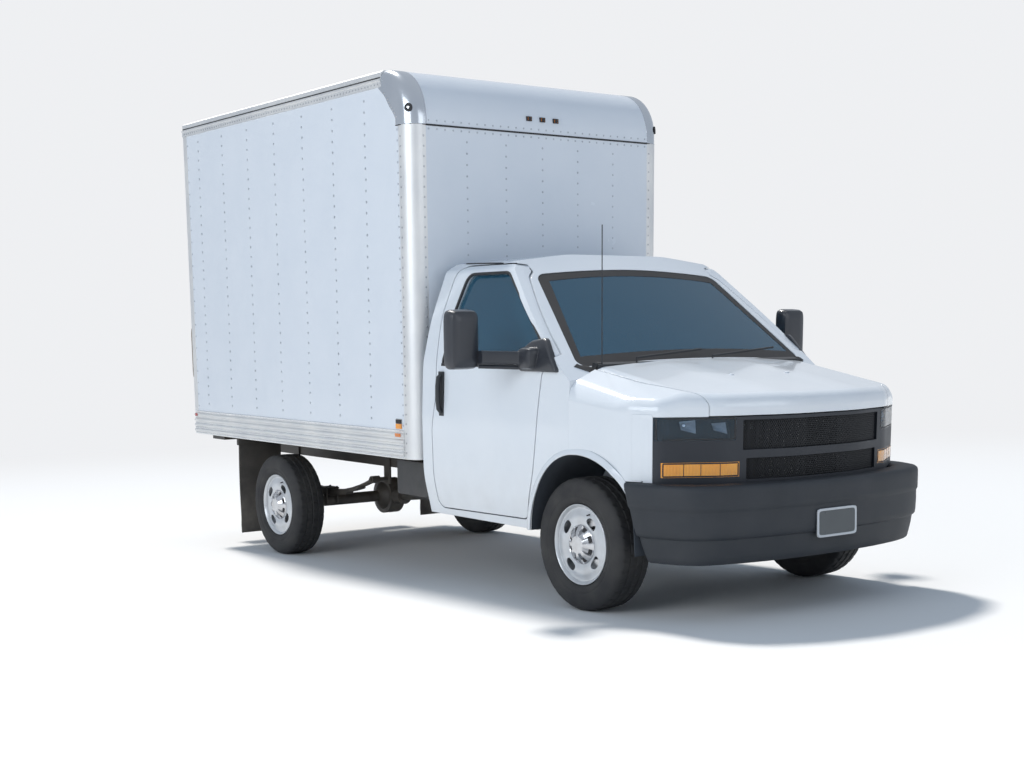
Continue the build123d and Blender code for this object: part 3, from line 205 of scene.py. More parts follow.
# Finishes: key, name, two tones, roughness, metal, bump, fineness of the grain, and what else each has
FINISHES = (
    ("white_paint", "cab white paint", (0.74, 0.77, 0.80), (0.71, 0.745, 0.78), 0.16, 0, 0.02, 600,
     dict(bevel=0.004, coat=0.6, dust=0.35, rough_span=0.08)),
    ("box_white", "box white panel", (0.72, 0.755, 0.80), (0.69, 0.73, 0.78), 0.24, 0, 0.03, 400,
     dict(bevel=0.0015, coat=0.3, dust=0.2, wave=("X", 0.9, 0.06, 3.0))),
    ("mill_aluminium", "mill aluminium", (0.78, 0.78, 0.77), (0.68, 0.69, 0.70), 0.46, 0.8, 0.05, 260,
     dict(bevel=0.002, rough_span=0.2, dust=0.2)),
    ("cast_aluminium", "cast aluminium", (0.6, 0.63, 0.67), (0.52, 0.56, 0.61), 0.22, 1.0, 0.12, 140,
     dict(bevel=0.006, rough_span=0.2)),
    ("black_plastic", "grained black plastic", (0.022, 0.024, 0.028), (0.03, 0.033, 0.038), 0.55, 0, 0.35,
     900, dict(bevel=0.004, dust=0.3)),
    ("bumper", "bumper plastic", (0.013, 0.018, 0.025), (0.018, 0.023, 0.031), 0.6, 0, 0.25, 1100,
     dict(bevel=0.008, dust=0.06)),
    ("grille_black", "grille plastic", (0.013, 0.016, 0.023), (0.018, 0.022, 0.030), 0.5, 0, 0.15, 700,
     dict(bevel=0.002)),
    ("screen", "grille screen", (0.005, 0.006, 0.008), (0.009, 0.010, 0.013), 0.7, 0, 0.2, 600, {}),
    ("mirror_shell", "mirror housing", (0.020, 0.023, 0.030), (0.028, 0.031, 0.039), 0.34, 0, 0.2, 900,
     dict(bevel=0.006, coat=0.25)),
    ("rib", "bright rib", (0.86, 0.87, 0.87), (0.76, 0.77, 0.78), 0.25, 0.6, 0.05, 300, dict(dust=0.1)),
    ("reflector", "lamp reflector", (0.62, 0.66, 0.70), (0.45, 0.49, 0.54), 0.2, 0.5, 0.1, 300,
     dict(wave=("Z", 40.0, 0.4))),
    ("chassis_black", "chassis paint", (0.018, 0.018, 0.02), (0.04, 0.035, 0.03), 0.5, 0, 0.3, 220,
     dict(bevel=0.003, dust=0.5)),
    ("cast_iron", "cast iron", (0.05, 0.045, 0.04), (0.09, 0.06, 0.04), 0.65, 0.6, 0.5, 160,
     dict(bevel=0.003)),
    ("steel_bare", "weathered steel", (0.28, 0.26, 0.24), (0.2, 0.13, 0.08), 0.5, 0.9, 0.3, 120, {}),
    ("steel_rim", "silver wheel enamel", (0.62, 0.64, 0.66), (0.54, 0.55, 0.56), 0.3, 0.45, 0.08, 300,
     dict(bevel=0.003, blotch=14)),
    ("hub_chrome", "chrome cap", (0.62, 0.63, 0.65), (0.5, 0.5, 0.51), 0.16, 1.0, 0.05, 200,
     dict(bevel=0.002, blotch=20, rough_span=0.2)),
    ("tyre", "tyre rubber", (0.017, 0.017, 0.019), (0.032, 0.031, 0.03), 0.72, 0, 0.35, 320,
     dict(bevel=0.002, blotch=8)),
    ("rubber_black", "moulded rubber", (0.02, 0.02, 0.021), (0.05, 0.047, 0.042), 0.7, 0, 0.3, 200,
     dict(dust=0.6)),
    ("dash_grey", "dashboard plastic", (0.19, 0.195, 0.2), (0.23, 0.23, 0.235), 0.6, 0, 0.4, 800,
     dict(bevel=0.004)),
    ("seat_cloth", "woven seat cloth", (0.26, 0.27, 0.285), (0.19, 0.195, 0.205), 0.9, 0, 0.6, 900,
     dict(blotch=40)),
    ("trim_grey", "moulded trim", (0.36, 0.37, 0.38), (0.31, 0.32, 0.33), 0.62, 0, 0.3, 800,
     dict(bevel=0.003)),
    ("wood_floor", "worn floor planks", (0.35, 0.25, 0.16), (0.24, 0.17, 0.11), 0.6, 0, 0.4, 90,
     dict(wave=("Y", 11.0, 0.5, 0.6))),
    ("plate_white", "blank plate", (0.6, 0.62, 0.64), (0.55, 0.57, 0.59), 0.4, 0, 0.1, 200,
     dict(bevel=0.002)),
    ("plate_field", "plate field", (0.07, 0.08, 0.085), (0.09, 0.1, 0.105), 0.35, 0, 0.1, 300, {}),
    # the box rivet heads are a darker grey than the panel: painted shade, so that they show as dots
    ("rivet", "rivet head", (0.50, 0.53, 0.57), (0.36, 0.39, 0.43), 0.35, 0.5, 0.05, 500, {}),
    ("rivet_bare", "bare rivet head", (0.55, 0.56, 0.58), (0.4, 0.41, 0.43), 0.35, 1.0, 0.05, 500, {}),
    ("seal", "rubber seal", (0.014, 0.014, 0.016), (0.02, 0.02, 0.022), 0.6, 0, 0.2, 500, {}),
    ("amber", "lamp lenses", (0.95, 0.9, 0.85), (0.8, 0.75, 0.7), 0.14, 0, 0.1, 60,
     dict(ends=((0.45, 0.01, 0.01), (0.75, 0.22, 0.02)), wave=("Z", 60.0, 0.3), coat=0.5)),
    ("turn_lens", "amber turn lens", (0.95, 0.36, 0.02), (0.75, 0.24, 0.01), 0.16, 0, 0.1, 60,
     dict(wave=("Y", 30.0, 0.5), coat=0.6, blotch=9)),
    ("chrome", "reflector chrome", (0.85, 0.87, 0.9), (0.7, 0.72, 0.75), 0.08, 1.0, 0.02, 200, {}),
    ("liner", "arch liner", (0.035, 0.043, 0.055), (0.05, 0.058, 0.07), 0.8, 0, 0.5, 120, {}),
    ("mirror_glass", "mirror glass", (0.8, 0.83, 0.86), (0.74, 0.77, 0.8), 0.03, 1.0, 0.01, 50,
     dict(rough_span=0.02)),
)
MATERIALS = {key: material(*row, **more) for key, *row, more in FINISHES}
# The cab windows carry a fifth of painted blue sky reflection; the lenses keep the small default share
MATERIALS["glass_tint"] = see_through("tinted glass", (0.84, 0.92, 0.94), 0.20)
MATERIALS["windshield"] = see_through("windshield glass", (0.80, 0.90, 0.94), 0.20)
MATERIALS["lamp_clear"] = see_through("clear lens", (0.78, 0.84, 0.9))
MATERIALS["nose_lenses"] = two_lenses("nose lenses", 0.88)
# The record's slot that a finish stands for where that isn't its own name
STANDS_FOR = {
    "cast_aluminium": "mill_aluminium", "rib": "mill_aluminium", "rivet_bare": "mill_aluminium",
    "bumper": "black_plastic", "liner": "black_plastic", "mirror_glass": "black_plastic",
    "mirror_shell": "black_plastic", "plate_field": "black_plastic", "seal": "black_plastic",
    "chrome": "lamp_clear", "reflector": "lamp_clear", "rivet": "box_white", "screen": "grille_black",
    "trim_grey": "dash_grey", "turn_lens": "amber"}
SLOT_OF = {s["node"]: s["material_slot"] for s in frame["record"]["subparts"]}
SPECIAL = {"windshield": "windshield", "front_lamps": "nose_lenses"}
for node_name, obj in NODES.items():
    finish = MATERIALS.get(SPECIAL.get(node_name, SLOT_OF[node_name]), MATERIALS["chassis_black"])
    if not obj.material_slots:
        obj.data.materials.append(None)
    for s in obj.material_slots:
        s.material = finish


# Pieces

def new_object(name, verts, faces, weld=0.0):
    """An object in the scene with its faces turned outward, after verts closer than weld are merged."""
    mesh = bpy.data.meshes.new(name)
    mesh.from_pydata([tuple(v) for v in verts], [], faces)
    mesh.validate()
    mesh.update()
    bm = bmesh.new()
    bm.from_mesh(mesh)
    if weld:
        bmesh.ops.remove_doubles(bm, verts=bm.verts, dist=weld)
    bmesh.ops.recalc_face_normals(bm, faces=bm.faces)
    bm.to_mesh(mesh)
    bm.free()
    ob = bpy.data.objects.new(name, mesh)
    bpy.context.scene.collection.objects.link(ob)
    return ob


def piece(name, verts, faces, mat, body="chassis", slot=None, smooth=True, replaces=()):
    ob = new_object(name, verts, faces)
    if smooth:
        ob.data.shade_smooth()
        ob.data.set_sharp_from_angle(angle=math.radians(38))
    ob.data.materials.append(MATERIALS[mat])
    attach(ob, body)
    slot or STANDS_FOR.get(mat, mat)
    if replaces:
        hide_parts(*replaces)
    return ob


def turns(count, offset=0.0):
    """Angles evenly round a circle."""
    return [2 * math.pi * (i + offset) / count for i in range(count)]


def between(corners, u, w):
    """A point between four corners, u from the first to the second and w from there to the other two."""
    a, b, c, d = (Vector(p) for p in corners)
    return (a * (1 - u) + b * u) * (1 - w) + (d * (1 - u) + c * u) * w


class Build:
    """Collects verts and faces of one joined piece. Its place function turns points into frame metres."""

    def __init__(self, place=body_point):
        self.place, self.v, self.f = place, [], []

    def add(self, verts, faces):
        n = len(self.v)
        self.v += [tuple(p) for p in verts]
        self.f += [tuple(i + n for i in f) for f in faces]

    def join(self, rings, wrap=False, closed=True, ends=False):
        """Rings with equal counts of points, joined in turn. Wrapped ones go on from the last to the first,
        others get a face at each end. Rings that aren't closed can get a face along each edge."""
        n, k = len(rings), len(rings[0])
        f = []
        for i in range(n if wrap else n - 1):
            a, c = i * k, (i + 1) % n * k
            for j in range(k if closed else k - 1):
                f.append((a + j, a + (j + 1) % k, c + (j + 1) % k, c + j))
        if not wrap:
            f += [tuple(range(k - 1, -1, -1)), tuple((n - 1) * k + j for j in range(k))]
        if ends:
            f += [tuple(i * k for i in range(n)), tuple(i * k + k - 1 for i in reversed(range(n)))]
        self.add([p for ring in rings for p in ring], f)

    def box(self, x0, x1, y0, y1, z0, z1):
        self.join([[(x, y0, z0), (x, y1, z0), (x, y1, z1), (x, y0, z1)] for x in (x0, x1)])

    def dome(self, centre, normal, radius, height, seg=8):
        n = Vector(normal).normalized()
        a = n.orthogonal().normalized()
        b = n.cross(a)
        c = Vector(centre)
        v = [c + (a * math.cos(t) + b * math.sin(t)) * radius * share + n * height * up
             for share, up in ((1.0, 0.0), (0.86, 0.6), (0.45, 0.93)) for t in turns(seg)]
        f = [(r * seg + i, r * seg + (i + 1) % seg, (r + 1) * seg + (i + 1) % seg, (r + 1) * seg + i)
             for r in range(2) for i in range(seg)]
        f += [(2 * seg + i, 2 * seg + (i + 1) % seg, 3 * seg) for i in range(seg)]
        self.add(v + [c + n * height], f + [tuple(range(seg - 1, -1, -1))])

    def tube(self, path, radius, seg=10, closed=False):
        pts = [Vector(p) for p in path]
        rings, up, n = [], None, len(pts)
        for i, p in enumerate(pts):
            a = pts[(i - 1) % n] if (i > 0 or closed) else p
            b = pts[(i + 1) % n] if (i < n - 1 or closed) else p
            d = (b - a).normalized()
            if up is None:
                up = d.orthogonal().normalized()
            side = d.cross(up).normalized()
            up = side.cross(d).normalized()
            r = radius[i] if isinstance(radius, list) else radius
            rings.append([p + (side * math.cos(t) + up * math.sin(t)) * r for t in turns(seg)])
        self.join(rings, wrap=closed)

    def sweep(self, path, section, out):
        """Section points (across, outward) carried along a path."""
        pts = [Vector(p) for p in path]
        rings = []
        for i, p in enumerate(pts):
            d = (pts[min(i + 1, len(pts) - 1)] - pts[max(i - 1, 0)]).normalized()
            across = Vector(out).cross(d).normalized()
            rings.append([p + across * u + Vector(out) * w for u, w in section])
        self.join(rings)

    def lathe(self, profile, centre, axis, seg=32, closed=True):
        """(radius, along) points turned round an axis."""
        n = Vector(axis).normalized()
        a = n.orthogonal().normalized()
        b = n.cross(a)
        self.join([[Vector(centre) + (a * math.cos(t) + b * math.sin(t)) * r + n * h for r, h in profile]
                   for t in turns(seg)], wrap=True, closed=closed)

    def ribbon(self, line, width, up, down):
        """A flat strip on a surface, along (point, outward side) pairs."""
        rings = []
        for i, (p, nrm) in enumerate(line):
            a, b = line[max(0, i - 1)][0], line[min(len(line) - 1, i + 1)][0]
            half = nrm.cross((b - a).normalized()).normalized() * width / 2
            over, under = nrm * up, nrm * down
            rings.append([p + half - under, p + half + over, p - half + over, p - half - under])
        self.join(rings)

    def sheet(self, grid, nu, nv):
        """A closed thin sheet from a grid of (point, offset to its face, offset from there to its back)."""
        v = [p + a for p, a, _ in grid] + [p + a + c for p, a, c in grid]
        k = nu * nv
        f = []
        for i in range(nu - 1):
            for j in range(nv - 1):
                q = (i * nv + j, i * nv + j + 1, (i + 1) * nv + j + 1, (i + 1) * nv + j)
                f += [q, tuple(k + c for c in reversed(q))]
        edge = list(range(nv)) + [i * nv + nv - 1 for i in range(1, nu)]
        edge += [(nu - 1) * nv + j for j in range(nv - 2, -1, -1)] + [i * nv for i in range(nu - 2, 0, -1)]
        f += [(a, a + k, c + k, c) for a, c in zip(edge, edge[1:] + edge[:1])]
        self.add(v, f)

    def patch(self, tree, corners, way, nu, nv, lift, depth):
        """A sheet laid on a surface: four body corners, met by rays along one way."""
        grid = []
        for i in range(nu):
            for j in range(nv):
                q = between(corners, i / (nu - 1), j / (nv - 1))
                hit, n = surface(tree, q - Vector(way) * 600, way)
                if hit is None:
                    hit, n = body_point(*q), -body_way(*way)
                grid.append((hit, n * lift / 1000, -n * (lift + depth) / 1000))
        self.sheet(grid, nu, nv)

    def done(self, name, mat, body="chassis", **more):
        return piece(name, [self.place(*p) for p in self.v], self.f, mat, body, **more)


def sided(s, points):
    """Points of the left side, or their mirror images on the right one where s is -1."""
    return [(x, s * y, z) for x, y, z in points]


def soft_box(half_a, half_b, count=40, power=0.42):
    """A rounded rectangle round the origin."""
    return [(half_a * math.copysign(abs(math.cos(t)) ** power, math.cos(t)),
             half_b * math.copysign(abs(math.sin(t)) ** power, math.sin(t))) for t in turns(count, 0.5)]


def rounded_y(x, y, z, half_x, half_z):
    return [(x + a, y, z + b) for a, b in soft_box(half_x, half_z)]


def arc_points(points, step=8.0):
    """A 2-D outline of (a, b) or (a, b, radius) corners, as plain points."""
    out = []
    n = len(points)
    for i, p in enumerate(points):
        here = Vector(p[:2])
        if len(p) == 2:
            out.append(here)
            continue
        r = p[2]
        u = (Vector(points[i - 1][:2]) - here).normalized()
        w = (Vector(points[(i + 1) % n][:2]) - here).normalized()
        half = math.acos(max(-1, min(1, u.dot(w)))) / 2
        centre = here + (u + w).normalized() * (r / math.sin(half))
        va, vb = (here + d * r / math.tan(half) - centre for d in (u, w))
        turn = math.pi - 2 * half
        count = max(2, int(turn * r / step))
        for t in range(count + 1):
            d = va * math.sin((1 - t / count) * turn) + vb * math.sin(t / count * turn)
            out.append(centre + d / max(1e-9, math.sin(turn)))
    return out


def steps(start, stop, step):
    """Places from start on, one step apart, that lie before stop."""
    while start < stop:
        yield start
        start += step


# Surface finder: rays onto the CAD skin, so that trim lies on it

def skin_of(*names):
    verts, faces = [], []
    for n in names:
        ob = NODES[n]
        start = len(verts)
        verts += [ob.matrix_world @ v.co for v in ob.data.vertices]
        faces += [[i + start for i in p.vertices] for p in ob.data.polygons]
    return BVHTree.FromPolygons(verts, faces)


def surface(tree, start, way):
    """The first surface point from a body point along a way, and its outward side, in the frame."""
    hit, normal, _, _ = tree.ray_cast(body_point(*start), body_way(*way))
    if hit is not None and normal.dot(body_way(*way)) > 0:
        normal = -normal
    return hit, normal


def from_front(y, z):
    return surface(NOSE, (1500, y, z), BACK)


def traced(found):
    """The (point, outward side) pairs of the rays that met something."""
    return [pair for pair in found if pair[0] is not None]


def front_line(y0, z0, y1, z1, count):
    return traced(from_front(y0 + (y1 - y0) * i / count, z0 + (z1 - z0) * i / count)
                  for i in range(count + 1))


NOSE = skin_of("front_lamps", "grille")
SHELL = skin_of("cab_shell")

# Box: rivets, their heads a darker grey than the panel as painted shade
HALF, BOX_FRONT, BOX_REAR = 1011.0, -1573.0, -4799.0
FLOOR_TOP, RUB_TOP, RAIL_LOW, CAP_LOW, BOX_TOP, CAP_R = 892.0, 902.0, 2993.0, 2747.0, 3092.0, 305.0
CAP_X, CAP_Z = BOX_FRONT - CAP_R, BOX_TOP - CAP_R
for s, hand in SIDES:
    out = (0, s, 0)
    b = Build()
    for x in range(-2088, -4537, -408):
        for z in steps(960.0, RAIL_LOW - 60, 68):
            b.dome((x + random.uniform(-2, 2), s * HALF, z), out, 8.5, 4.0)
    for z in steps(930.0, CAP_LOW, 64):
        b.dome((BOX_FRONT - 133, s * HALF, z), out, 7, 3)
    for z in steps(940.0, RAIL_LOW - 20, 90):
        b.dome((BOX_REAR + 76, s * HALF, z), out, 7, 3)
    b.done(f"side_rivets_{hand}", "rivet")
    b = Build()
    for x in steps(BOX_REAR + 40, CAP_X - 30, 38):
        b.dome((x, s * (HALF + 6), 3009), out, 6.5, 3.4)
    for x in steps(BOX_REAR + 40, BOX_FRONT - 140, 52):
        b.dome((x, s * (HALF + 3), RUB_TOP - 7), out, 5, 2.6)
    for z in steps(760.0, CAP_LOW - 20, 60):
        b.dome((BOX_FRONT - 100, s * HALF, z), out, 7, 3.4)
    b.done(f"rail_rivets_{hand}", "rivet_bare")

b = Build()
for y in (-590, -290, 0, 290, 590):
    for z in steps(960.0, CAP_LOW - 30, 68):
        b.dome((BOX_FRONT, y, z), AHEAD, 7, 3)
for y in range(-870, 871, 60):
    b.dome((BOX_FRONT, y, CAP_LOW - 24), AHEAD, 6.5, 3)
    b.dome((BOX_FRONT - 0.6, y, CAP_LOW + 26), (1, 0, 0.1), 6.5, 3)
b.done("front_wall_rivets", "rivet")
b = Build()
for s in (-1, 1):
    for z in steps(760.0, CAP_LOW - 10, 60):
        b.dome((BOX_FRONT, s * 908, z), AHEAD, 7, 3.2)
b.done("post_rivets", "rivet_bare")

# Corner castings: the cap's curve carried round each corner, with a riveted flange on the side
EDGE, SKIN_R = 1012.5, CAP_R + 1.5


def corner_arc(corner, inset):
    """The rounding from the side to the cap, as (sideways, radius) points."""
    w = corner - inset
    return [(corner - EDGE - w * math.cos(c), SKIN_R - corner + w * math.sin(c))
            for c in (math.radians(11.25 * k) for k in range(9))]


b = Build()
for s in (-1, 1):
    rings = []
    # angle round the cap's axis, shift to the rear, and a height of its own below the curve
    stations = [(0, 0, CAP_LOW + 1), (0, 0, CAP_LOW + 20)] + [(7.5 * i, 0, None) for i in range(13)]
    for angle, shift, height in stations + [(90, -22, None), (90, -44, None)]:
        t = math.radians(angle)
        flange = 44 + 46 * math.sin(2 * t) + 34 * angle / 90 + 0.75 * shift
        corner = 104 - 52 * angle / 90
        foot = [(-EDGE, CAP_R - corner - flange), (-EDGE, CAP_R - corner - flange / 2)]
        shape = foot + corner_arc(corner, 0) + [(-886, SKIN_R)]
        thin = [(y + 5, r) for y, r in foot] + corner_arc(corner, 6) + [(-886, SKIN_R - 6)]
        rings.append([(CAP_X + r * math.cos(t) + shift, -s * y, height or CAP_Z + r * math.sin(t))
                      for y, r in shape + thin[::-1]])
    b.join(rings)
b.done("cast_corners", "cast_aluminium", replaces=["roof_castings"])
b, lamp, glass = Build(), Build(), Build()
for s in (-1, 1):
    for i in range(9):
        a = math.radians(4 + 9.4 * i)
        r = CAP_R - 136 + 18 * a / (math.pi / 2) - 46 * math.sin(2 * a)
        b.dome((CAP_X + r * math.cos(a), s * (HALF + 1), CAP_Z + r * math.sin(a)), (0, s, 0), 6.5, 3)
    spot, out = (BOX_FRONT - 38, s * (HALF - 25), 2842), (0.64, s * 0.77, 0.08)
    lamp.lathe([(11, 0), (24, 0), (26, 5), (23, 11), (13, 12), (11, 8)], spot, out, 28)
    glass.lathe([(0.1, 4), (10, 4), (11, 7), (8, 11), (0.1, 12)], spot, out, 24, closed=False)
b.done("casting_rivets", "rivet_bare")
lamp.done("casting_lamp_rings", "seal")
glass.done("casting_lamp_lenses", "chrome")

# Roof marker bodies over the lamps of the cap
b = Build()
for y in (-107, 0, 107):
    b.box(BOX_FRONT - 6, BOX_FRONT + 6, y - 20, y + 20, CAP_LOW + 74, CAP_LOW + 102)
    b.dome((BOX_FRONT + 8, y, CAP_LOW + 88), AHEAD, 12, 7, 14)
b.done("roof_marker_bodies", "seal")

# Side lamp of three blocks above the rub rail at the front corner, and the ribs of the rub rail
for s, hand in SIDES:
    for kind, mat, x0, x1, z0, z1, out in (("bezel", "rib", -212, -142, 904, 972, 4),
                                           ("lens", "turn_lens", -207, -147, 909, 940, 12),
                                           ("upper", "seal", -207, -147, 941, 967, 11)):
        b = Build()
        b.box(BOX_FRONT + x0, BOX_FRONT + x1, s * (HALF - 3), s * (HALF + out), z0, z1)
        b.done(f"side_lamp_{kind}_{hand}", mat, smooth=False)
    b = Build()
    for z in (897, 838, 800, 768, 727):
        b.sweep([(x, s * (HALF + 2.5), z) for x in (BOX_REAR + 6, -3000, BOX_FRONT - 128)],
                [(-4.5, 0), (-3, 4), (0, 5.5), (3, 4), (4.5, 0)], (0, s, 0))
    b.done(f"rub_rail_ribs_{hand}", "rib")

# Dark line of the top rail: a painted shadow of its gap; seam between the front wall and the cap; cargo
# rails
b, seam, lining = Build(), Build(), Build()
seam.box(BOX_FRONT - 2, BOX_FRONT + 4, -890, 890, CAP_LOW - 6, CAP_LOW + 4)
for s in (-1, 1):
    # a thin dark strip along the top rail: painted shadow, not a part
    b.box(BOX_REAR + 4, CAP_X - 8, s * (HALF + 1) - 3, s * (HALF + 1) + 3, 3045, 3052)
    seam.tube([(BOX_FRONT + x, s * y, CAP_LOW)
               for x, y in ((-148, 1012), (-100, 1012), (-30, 982), (-1, 912), (1, 884))], 3.2, 8)
    for z in (1250, 1650, 2100, 2550):
        lining.box(BOX_REAR + 90, BOX_FRONT - 60, s * 966 - 5, s * 966 + 5, z, z + 90)
b.done("top_rail_painted_shadow", "seal", smooth=False)
seam.done("cap_seam", "seal")
lining.done("cargo_rails", "wood_floor", smooth=False)

# Windshield: printed border, on the glass's own drum, from the foot of the glass to its head
FOOT_X, FOOT_Z, HEAD_X, HEAD_Z, DRUM = -62.0, 1338.0, -800.0, 1930.0, 7000.0
SLOPE = math.hypot(HEAD_X - FOOT_X, HEAD_Z - FOOT_Z)
UPWARD = ((HEAD_X - FOOT_X) / SLOPE, (HEAD_Z - FOOT_Z) / SLOPE)


def on_glass(point, depth):
    """A point of the windshield drum: across and up the slope, with a depth below the outer form."""
    y, up = point
    fall = DRUM - math.sqrt(DRUM * DRUM - y * y) + depth
    return FOOT_X + UPWARD[0] * up - UPWARD[1] * fall, y, FOOT_Z + UPWARD[1] * up + UPWARD[0] * fall


def bow(half, share, base, rise):
    """A curved edge from right to left."""
    return [(y * share, base + rise * (y / half) ** 2) for y in (half * (i / 20 - 1) for i in range(41))]


def upright(y, dy, z, dz):
    return [(y - dy * i / 20, z + dz * i / 20) for i in range(1, 20)]


def mirrored(line):
    return [(-y, z) for y, z in reversed(line)]


side_out, side_in = upright(876, 178, 36, 798), upright(815, 172, 119, 650)
frit_out = bow(876, 1, 26, 10) + side_out + bow(698, 1, 850, -14)[::-1] + mirrored(side_out)
frit_in = bow(876, 0.93, 105, 14) + side_in + bow(698, 0.92, 790, -18)[::-1] + mirrored(side_in)
b = Build()
b.join([[on_glass(p, 2.6), on_glass(q, 2.6), on_glass(q, 3.4), on_glass(p, 3.4)]
        for p, q in zip(frit_out, frit_in)], wrap=True)
b.done("windshield_border", "seal")

# Doors: window seals, handles, and tow mirrors with their faces
WINDOW = arc_points([(-1290, 1324, 12), (-1270, 1640, 400), (-1246, 1848, 62), (-838, 1848, 90),
                     (-388, 1484, 900), (-206, 1324, 14)], 20)
SAIL = arc_points([(-502, 1292, 20), (-500, 1416, 16), (-426, 1462, 60), (-299, 1478, 40),
                   (-150, 1292, 8)], 14)
MIDDLE = sum(SAIL, Vector((0, 0))) / len(SAIL)
CAB_SIDE = ((362, 935), (640, 999), (1000, 1003), (1324, 988), (1580, 925), (1871, 806))


def cab_half_width(z):
    """Half width of the cab's side at a height, from the section's corners."""
    for (z0, w0), (z1, w1) in zip(CAB_SIDE, CAB_SIDE[1:]):
        if z <= z1:
            return w0 + (w1 - w0) * (z - z0) / (z1 - z0)
    return CAB_SIDE[-1][1]


def mirror_head(s, rows, height, half_y, half_z):
    return [[(x, s * 1304 + a, height + c) for a, c in soft_box(half_y - d, half_z - d, power=0.28)]
            for x, d in rows]


for s, hand in SIDES:
    body = f"door_{hand}"
    b = Build()
    b.tube([(p.x, s * (cab_half_width(p.y) - 4), p.y) for p in WINDOW], 9, 8, closed=True)
    b.done(f"window_seal_{hand}", "seal", body)
    b = Build()
    b.tube(sided(s, ((-1286, 1006, 1030), (-1288, 1022, 1052), (-1290, 1026, 1110), (-1288, 1026, 1190),
                     (-1284, 1022, 1240), (-1280, 1004, 1258))), [12, 14, 15, 15, 14, 12], 12)
    b.box(-1312, -1262, s * 1000 - 4, s * 1000 + 4, 1010, 1275)
    b.done(f"door_handle_{hand}", "black_plastic", body)
    b = Build()
    b.join(mirror_head(s, ((-660, 13), (-658, 3), (-646, 0), (-604, 4), (-584, 12), (-574, 30), (-571, 60)),
                       1470, 98, 164))
    for rows in (((-400, 968, 1364, 66, 62), (-402, 1022, 1364, 64, 60), (-404, 1042, 1364, 56, 52),
                  (-405, 1050, 1364, 36, 34)),
                 ((-560, 1228, 1374, 27, 36), (-520, 1140, 1372, 25, 35), (-470, 1060, 1368, 25, 35),
                  (-430, 1000, 1362, 30, 44), (-412, 975, 1358, 40, 52))):
        b.join([rounded_y(x, s * y, z, w, h) for x, y, z, w, h in rows])
    b.tube(sided(s, ((-575, 1226, 1322), (-525, 1130, 1318), (-470, 1050, 1314), (-440, 985, 1312))), 11, 12)
    b.join([[(q.x, s * (cab_half_width(q.y) + out), q.y)
             for q in (p + (MIDDLE - p).normalized() * inset for p in SAIL)]
            for out, inset in ((-6, 0), (12, 1), (20, 7), (23, 18))])
    b.done(f"tow_mirror_{hand}", "mirror_shell", body, replaces=[f"mirror_{hand}"])
    b = Build()
    b.join(mirror_head(s, ((-665, 2), (-663, 0), (-655, 0)), 1472, 83, 147))
    b.done(f"mirror_face_{hand}", "mirror_glass", body)

# Arch liners and arch lips
ARCH = arc_points([(-419, 404), (-419, 520, 480), (-330, 700, 330), (-190, 860, 380), (120, 880, 550),
                   (360, 760, 340), (455, 560, 480), (469, 360)], 18)
INSIDE = [p + (Vector((30, 560)) - p).normalized() * 4 for p in ARCH]
for s, hand in SIDES:
    b = Build()
    b.join([[(p.x, s * 535, p.y), (p.x, s * 985, p.y), (q.x, s * 985, q.y), (q.x, s * 535, q.y)]
            for p, q in zip(ARCH, INSIDE)])
    b.done(f"arch_liner_{hand}", "liner")
    b = Build()
    section = [(-s * u, w) for u, w in ((26, -2), (10, 6), (-8, 10), (-14, 6), (-10, -4), (10, -6))]
    b.sweep([(p.x, s * (999 - max(0, p.x - 300) * 0.28), p.y) for p in ARCH[1:-1]], section, (0, s, 0))
    b.done(f"arch_lip_{hand}", "white_paint")


# Wheels, round the origin in millimetres: treaded tyre, lathed steel wheel with hand holes, fluted cap

def treaded_tyre():
    wall = [(204.3, -62), (204.3, -76), (212, -83.5), (222.5, -85), (232, -99), (246, -106), (262, -110.5),
            (268, -109), (272, -111), (290, -112), (316, -110), (334, -106.5), (346, -101), (354, -95),
            (360, -88)]
    inside = [(204.3, 62), (222, 68), (246, 88), (300, 98), (340, 80), (344, 0), (340, -80), (300, -98),
              (246, -88), (222, -68)]
    half_crown = (8, 12, 24, 38, 44, 50, 58, 70, 82)
    rings = []
    for i, t in enumerate(turns(216)):
        lug, sipe = i % 6 == 0, i % 6 == 3
        side = [(r - (2.5 if lug and r > 344 else 0), a) for r, a in wall]
        crown = []
        for a in (*(-a for a in reversed(half_crown)), 0, *half_crown):
            cross_cut = (abs(a) > 50 and lug) or (8 < abs(a) < 40 and sipe)
            groove = 8 if abs(a) in (0, 44) else 6 if cross_cut else 0
            crown.append((366.0 - 3.0 * (abs(a) / 82) ** 2 - groove, a))
        rings.append([(r * math.cos(t), a, r * math.sin(t))
                      for r, a in side + crown + [(r, -a) for r, a in reversed(side)] + inside])
    b = Build()
    b.join(rings, wrap=True)
    return b.v, b.f


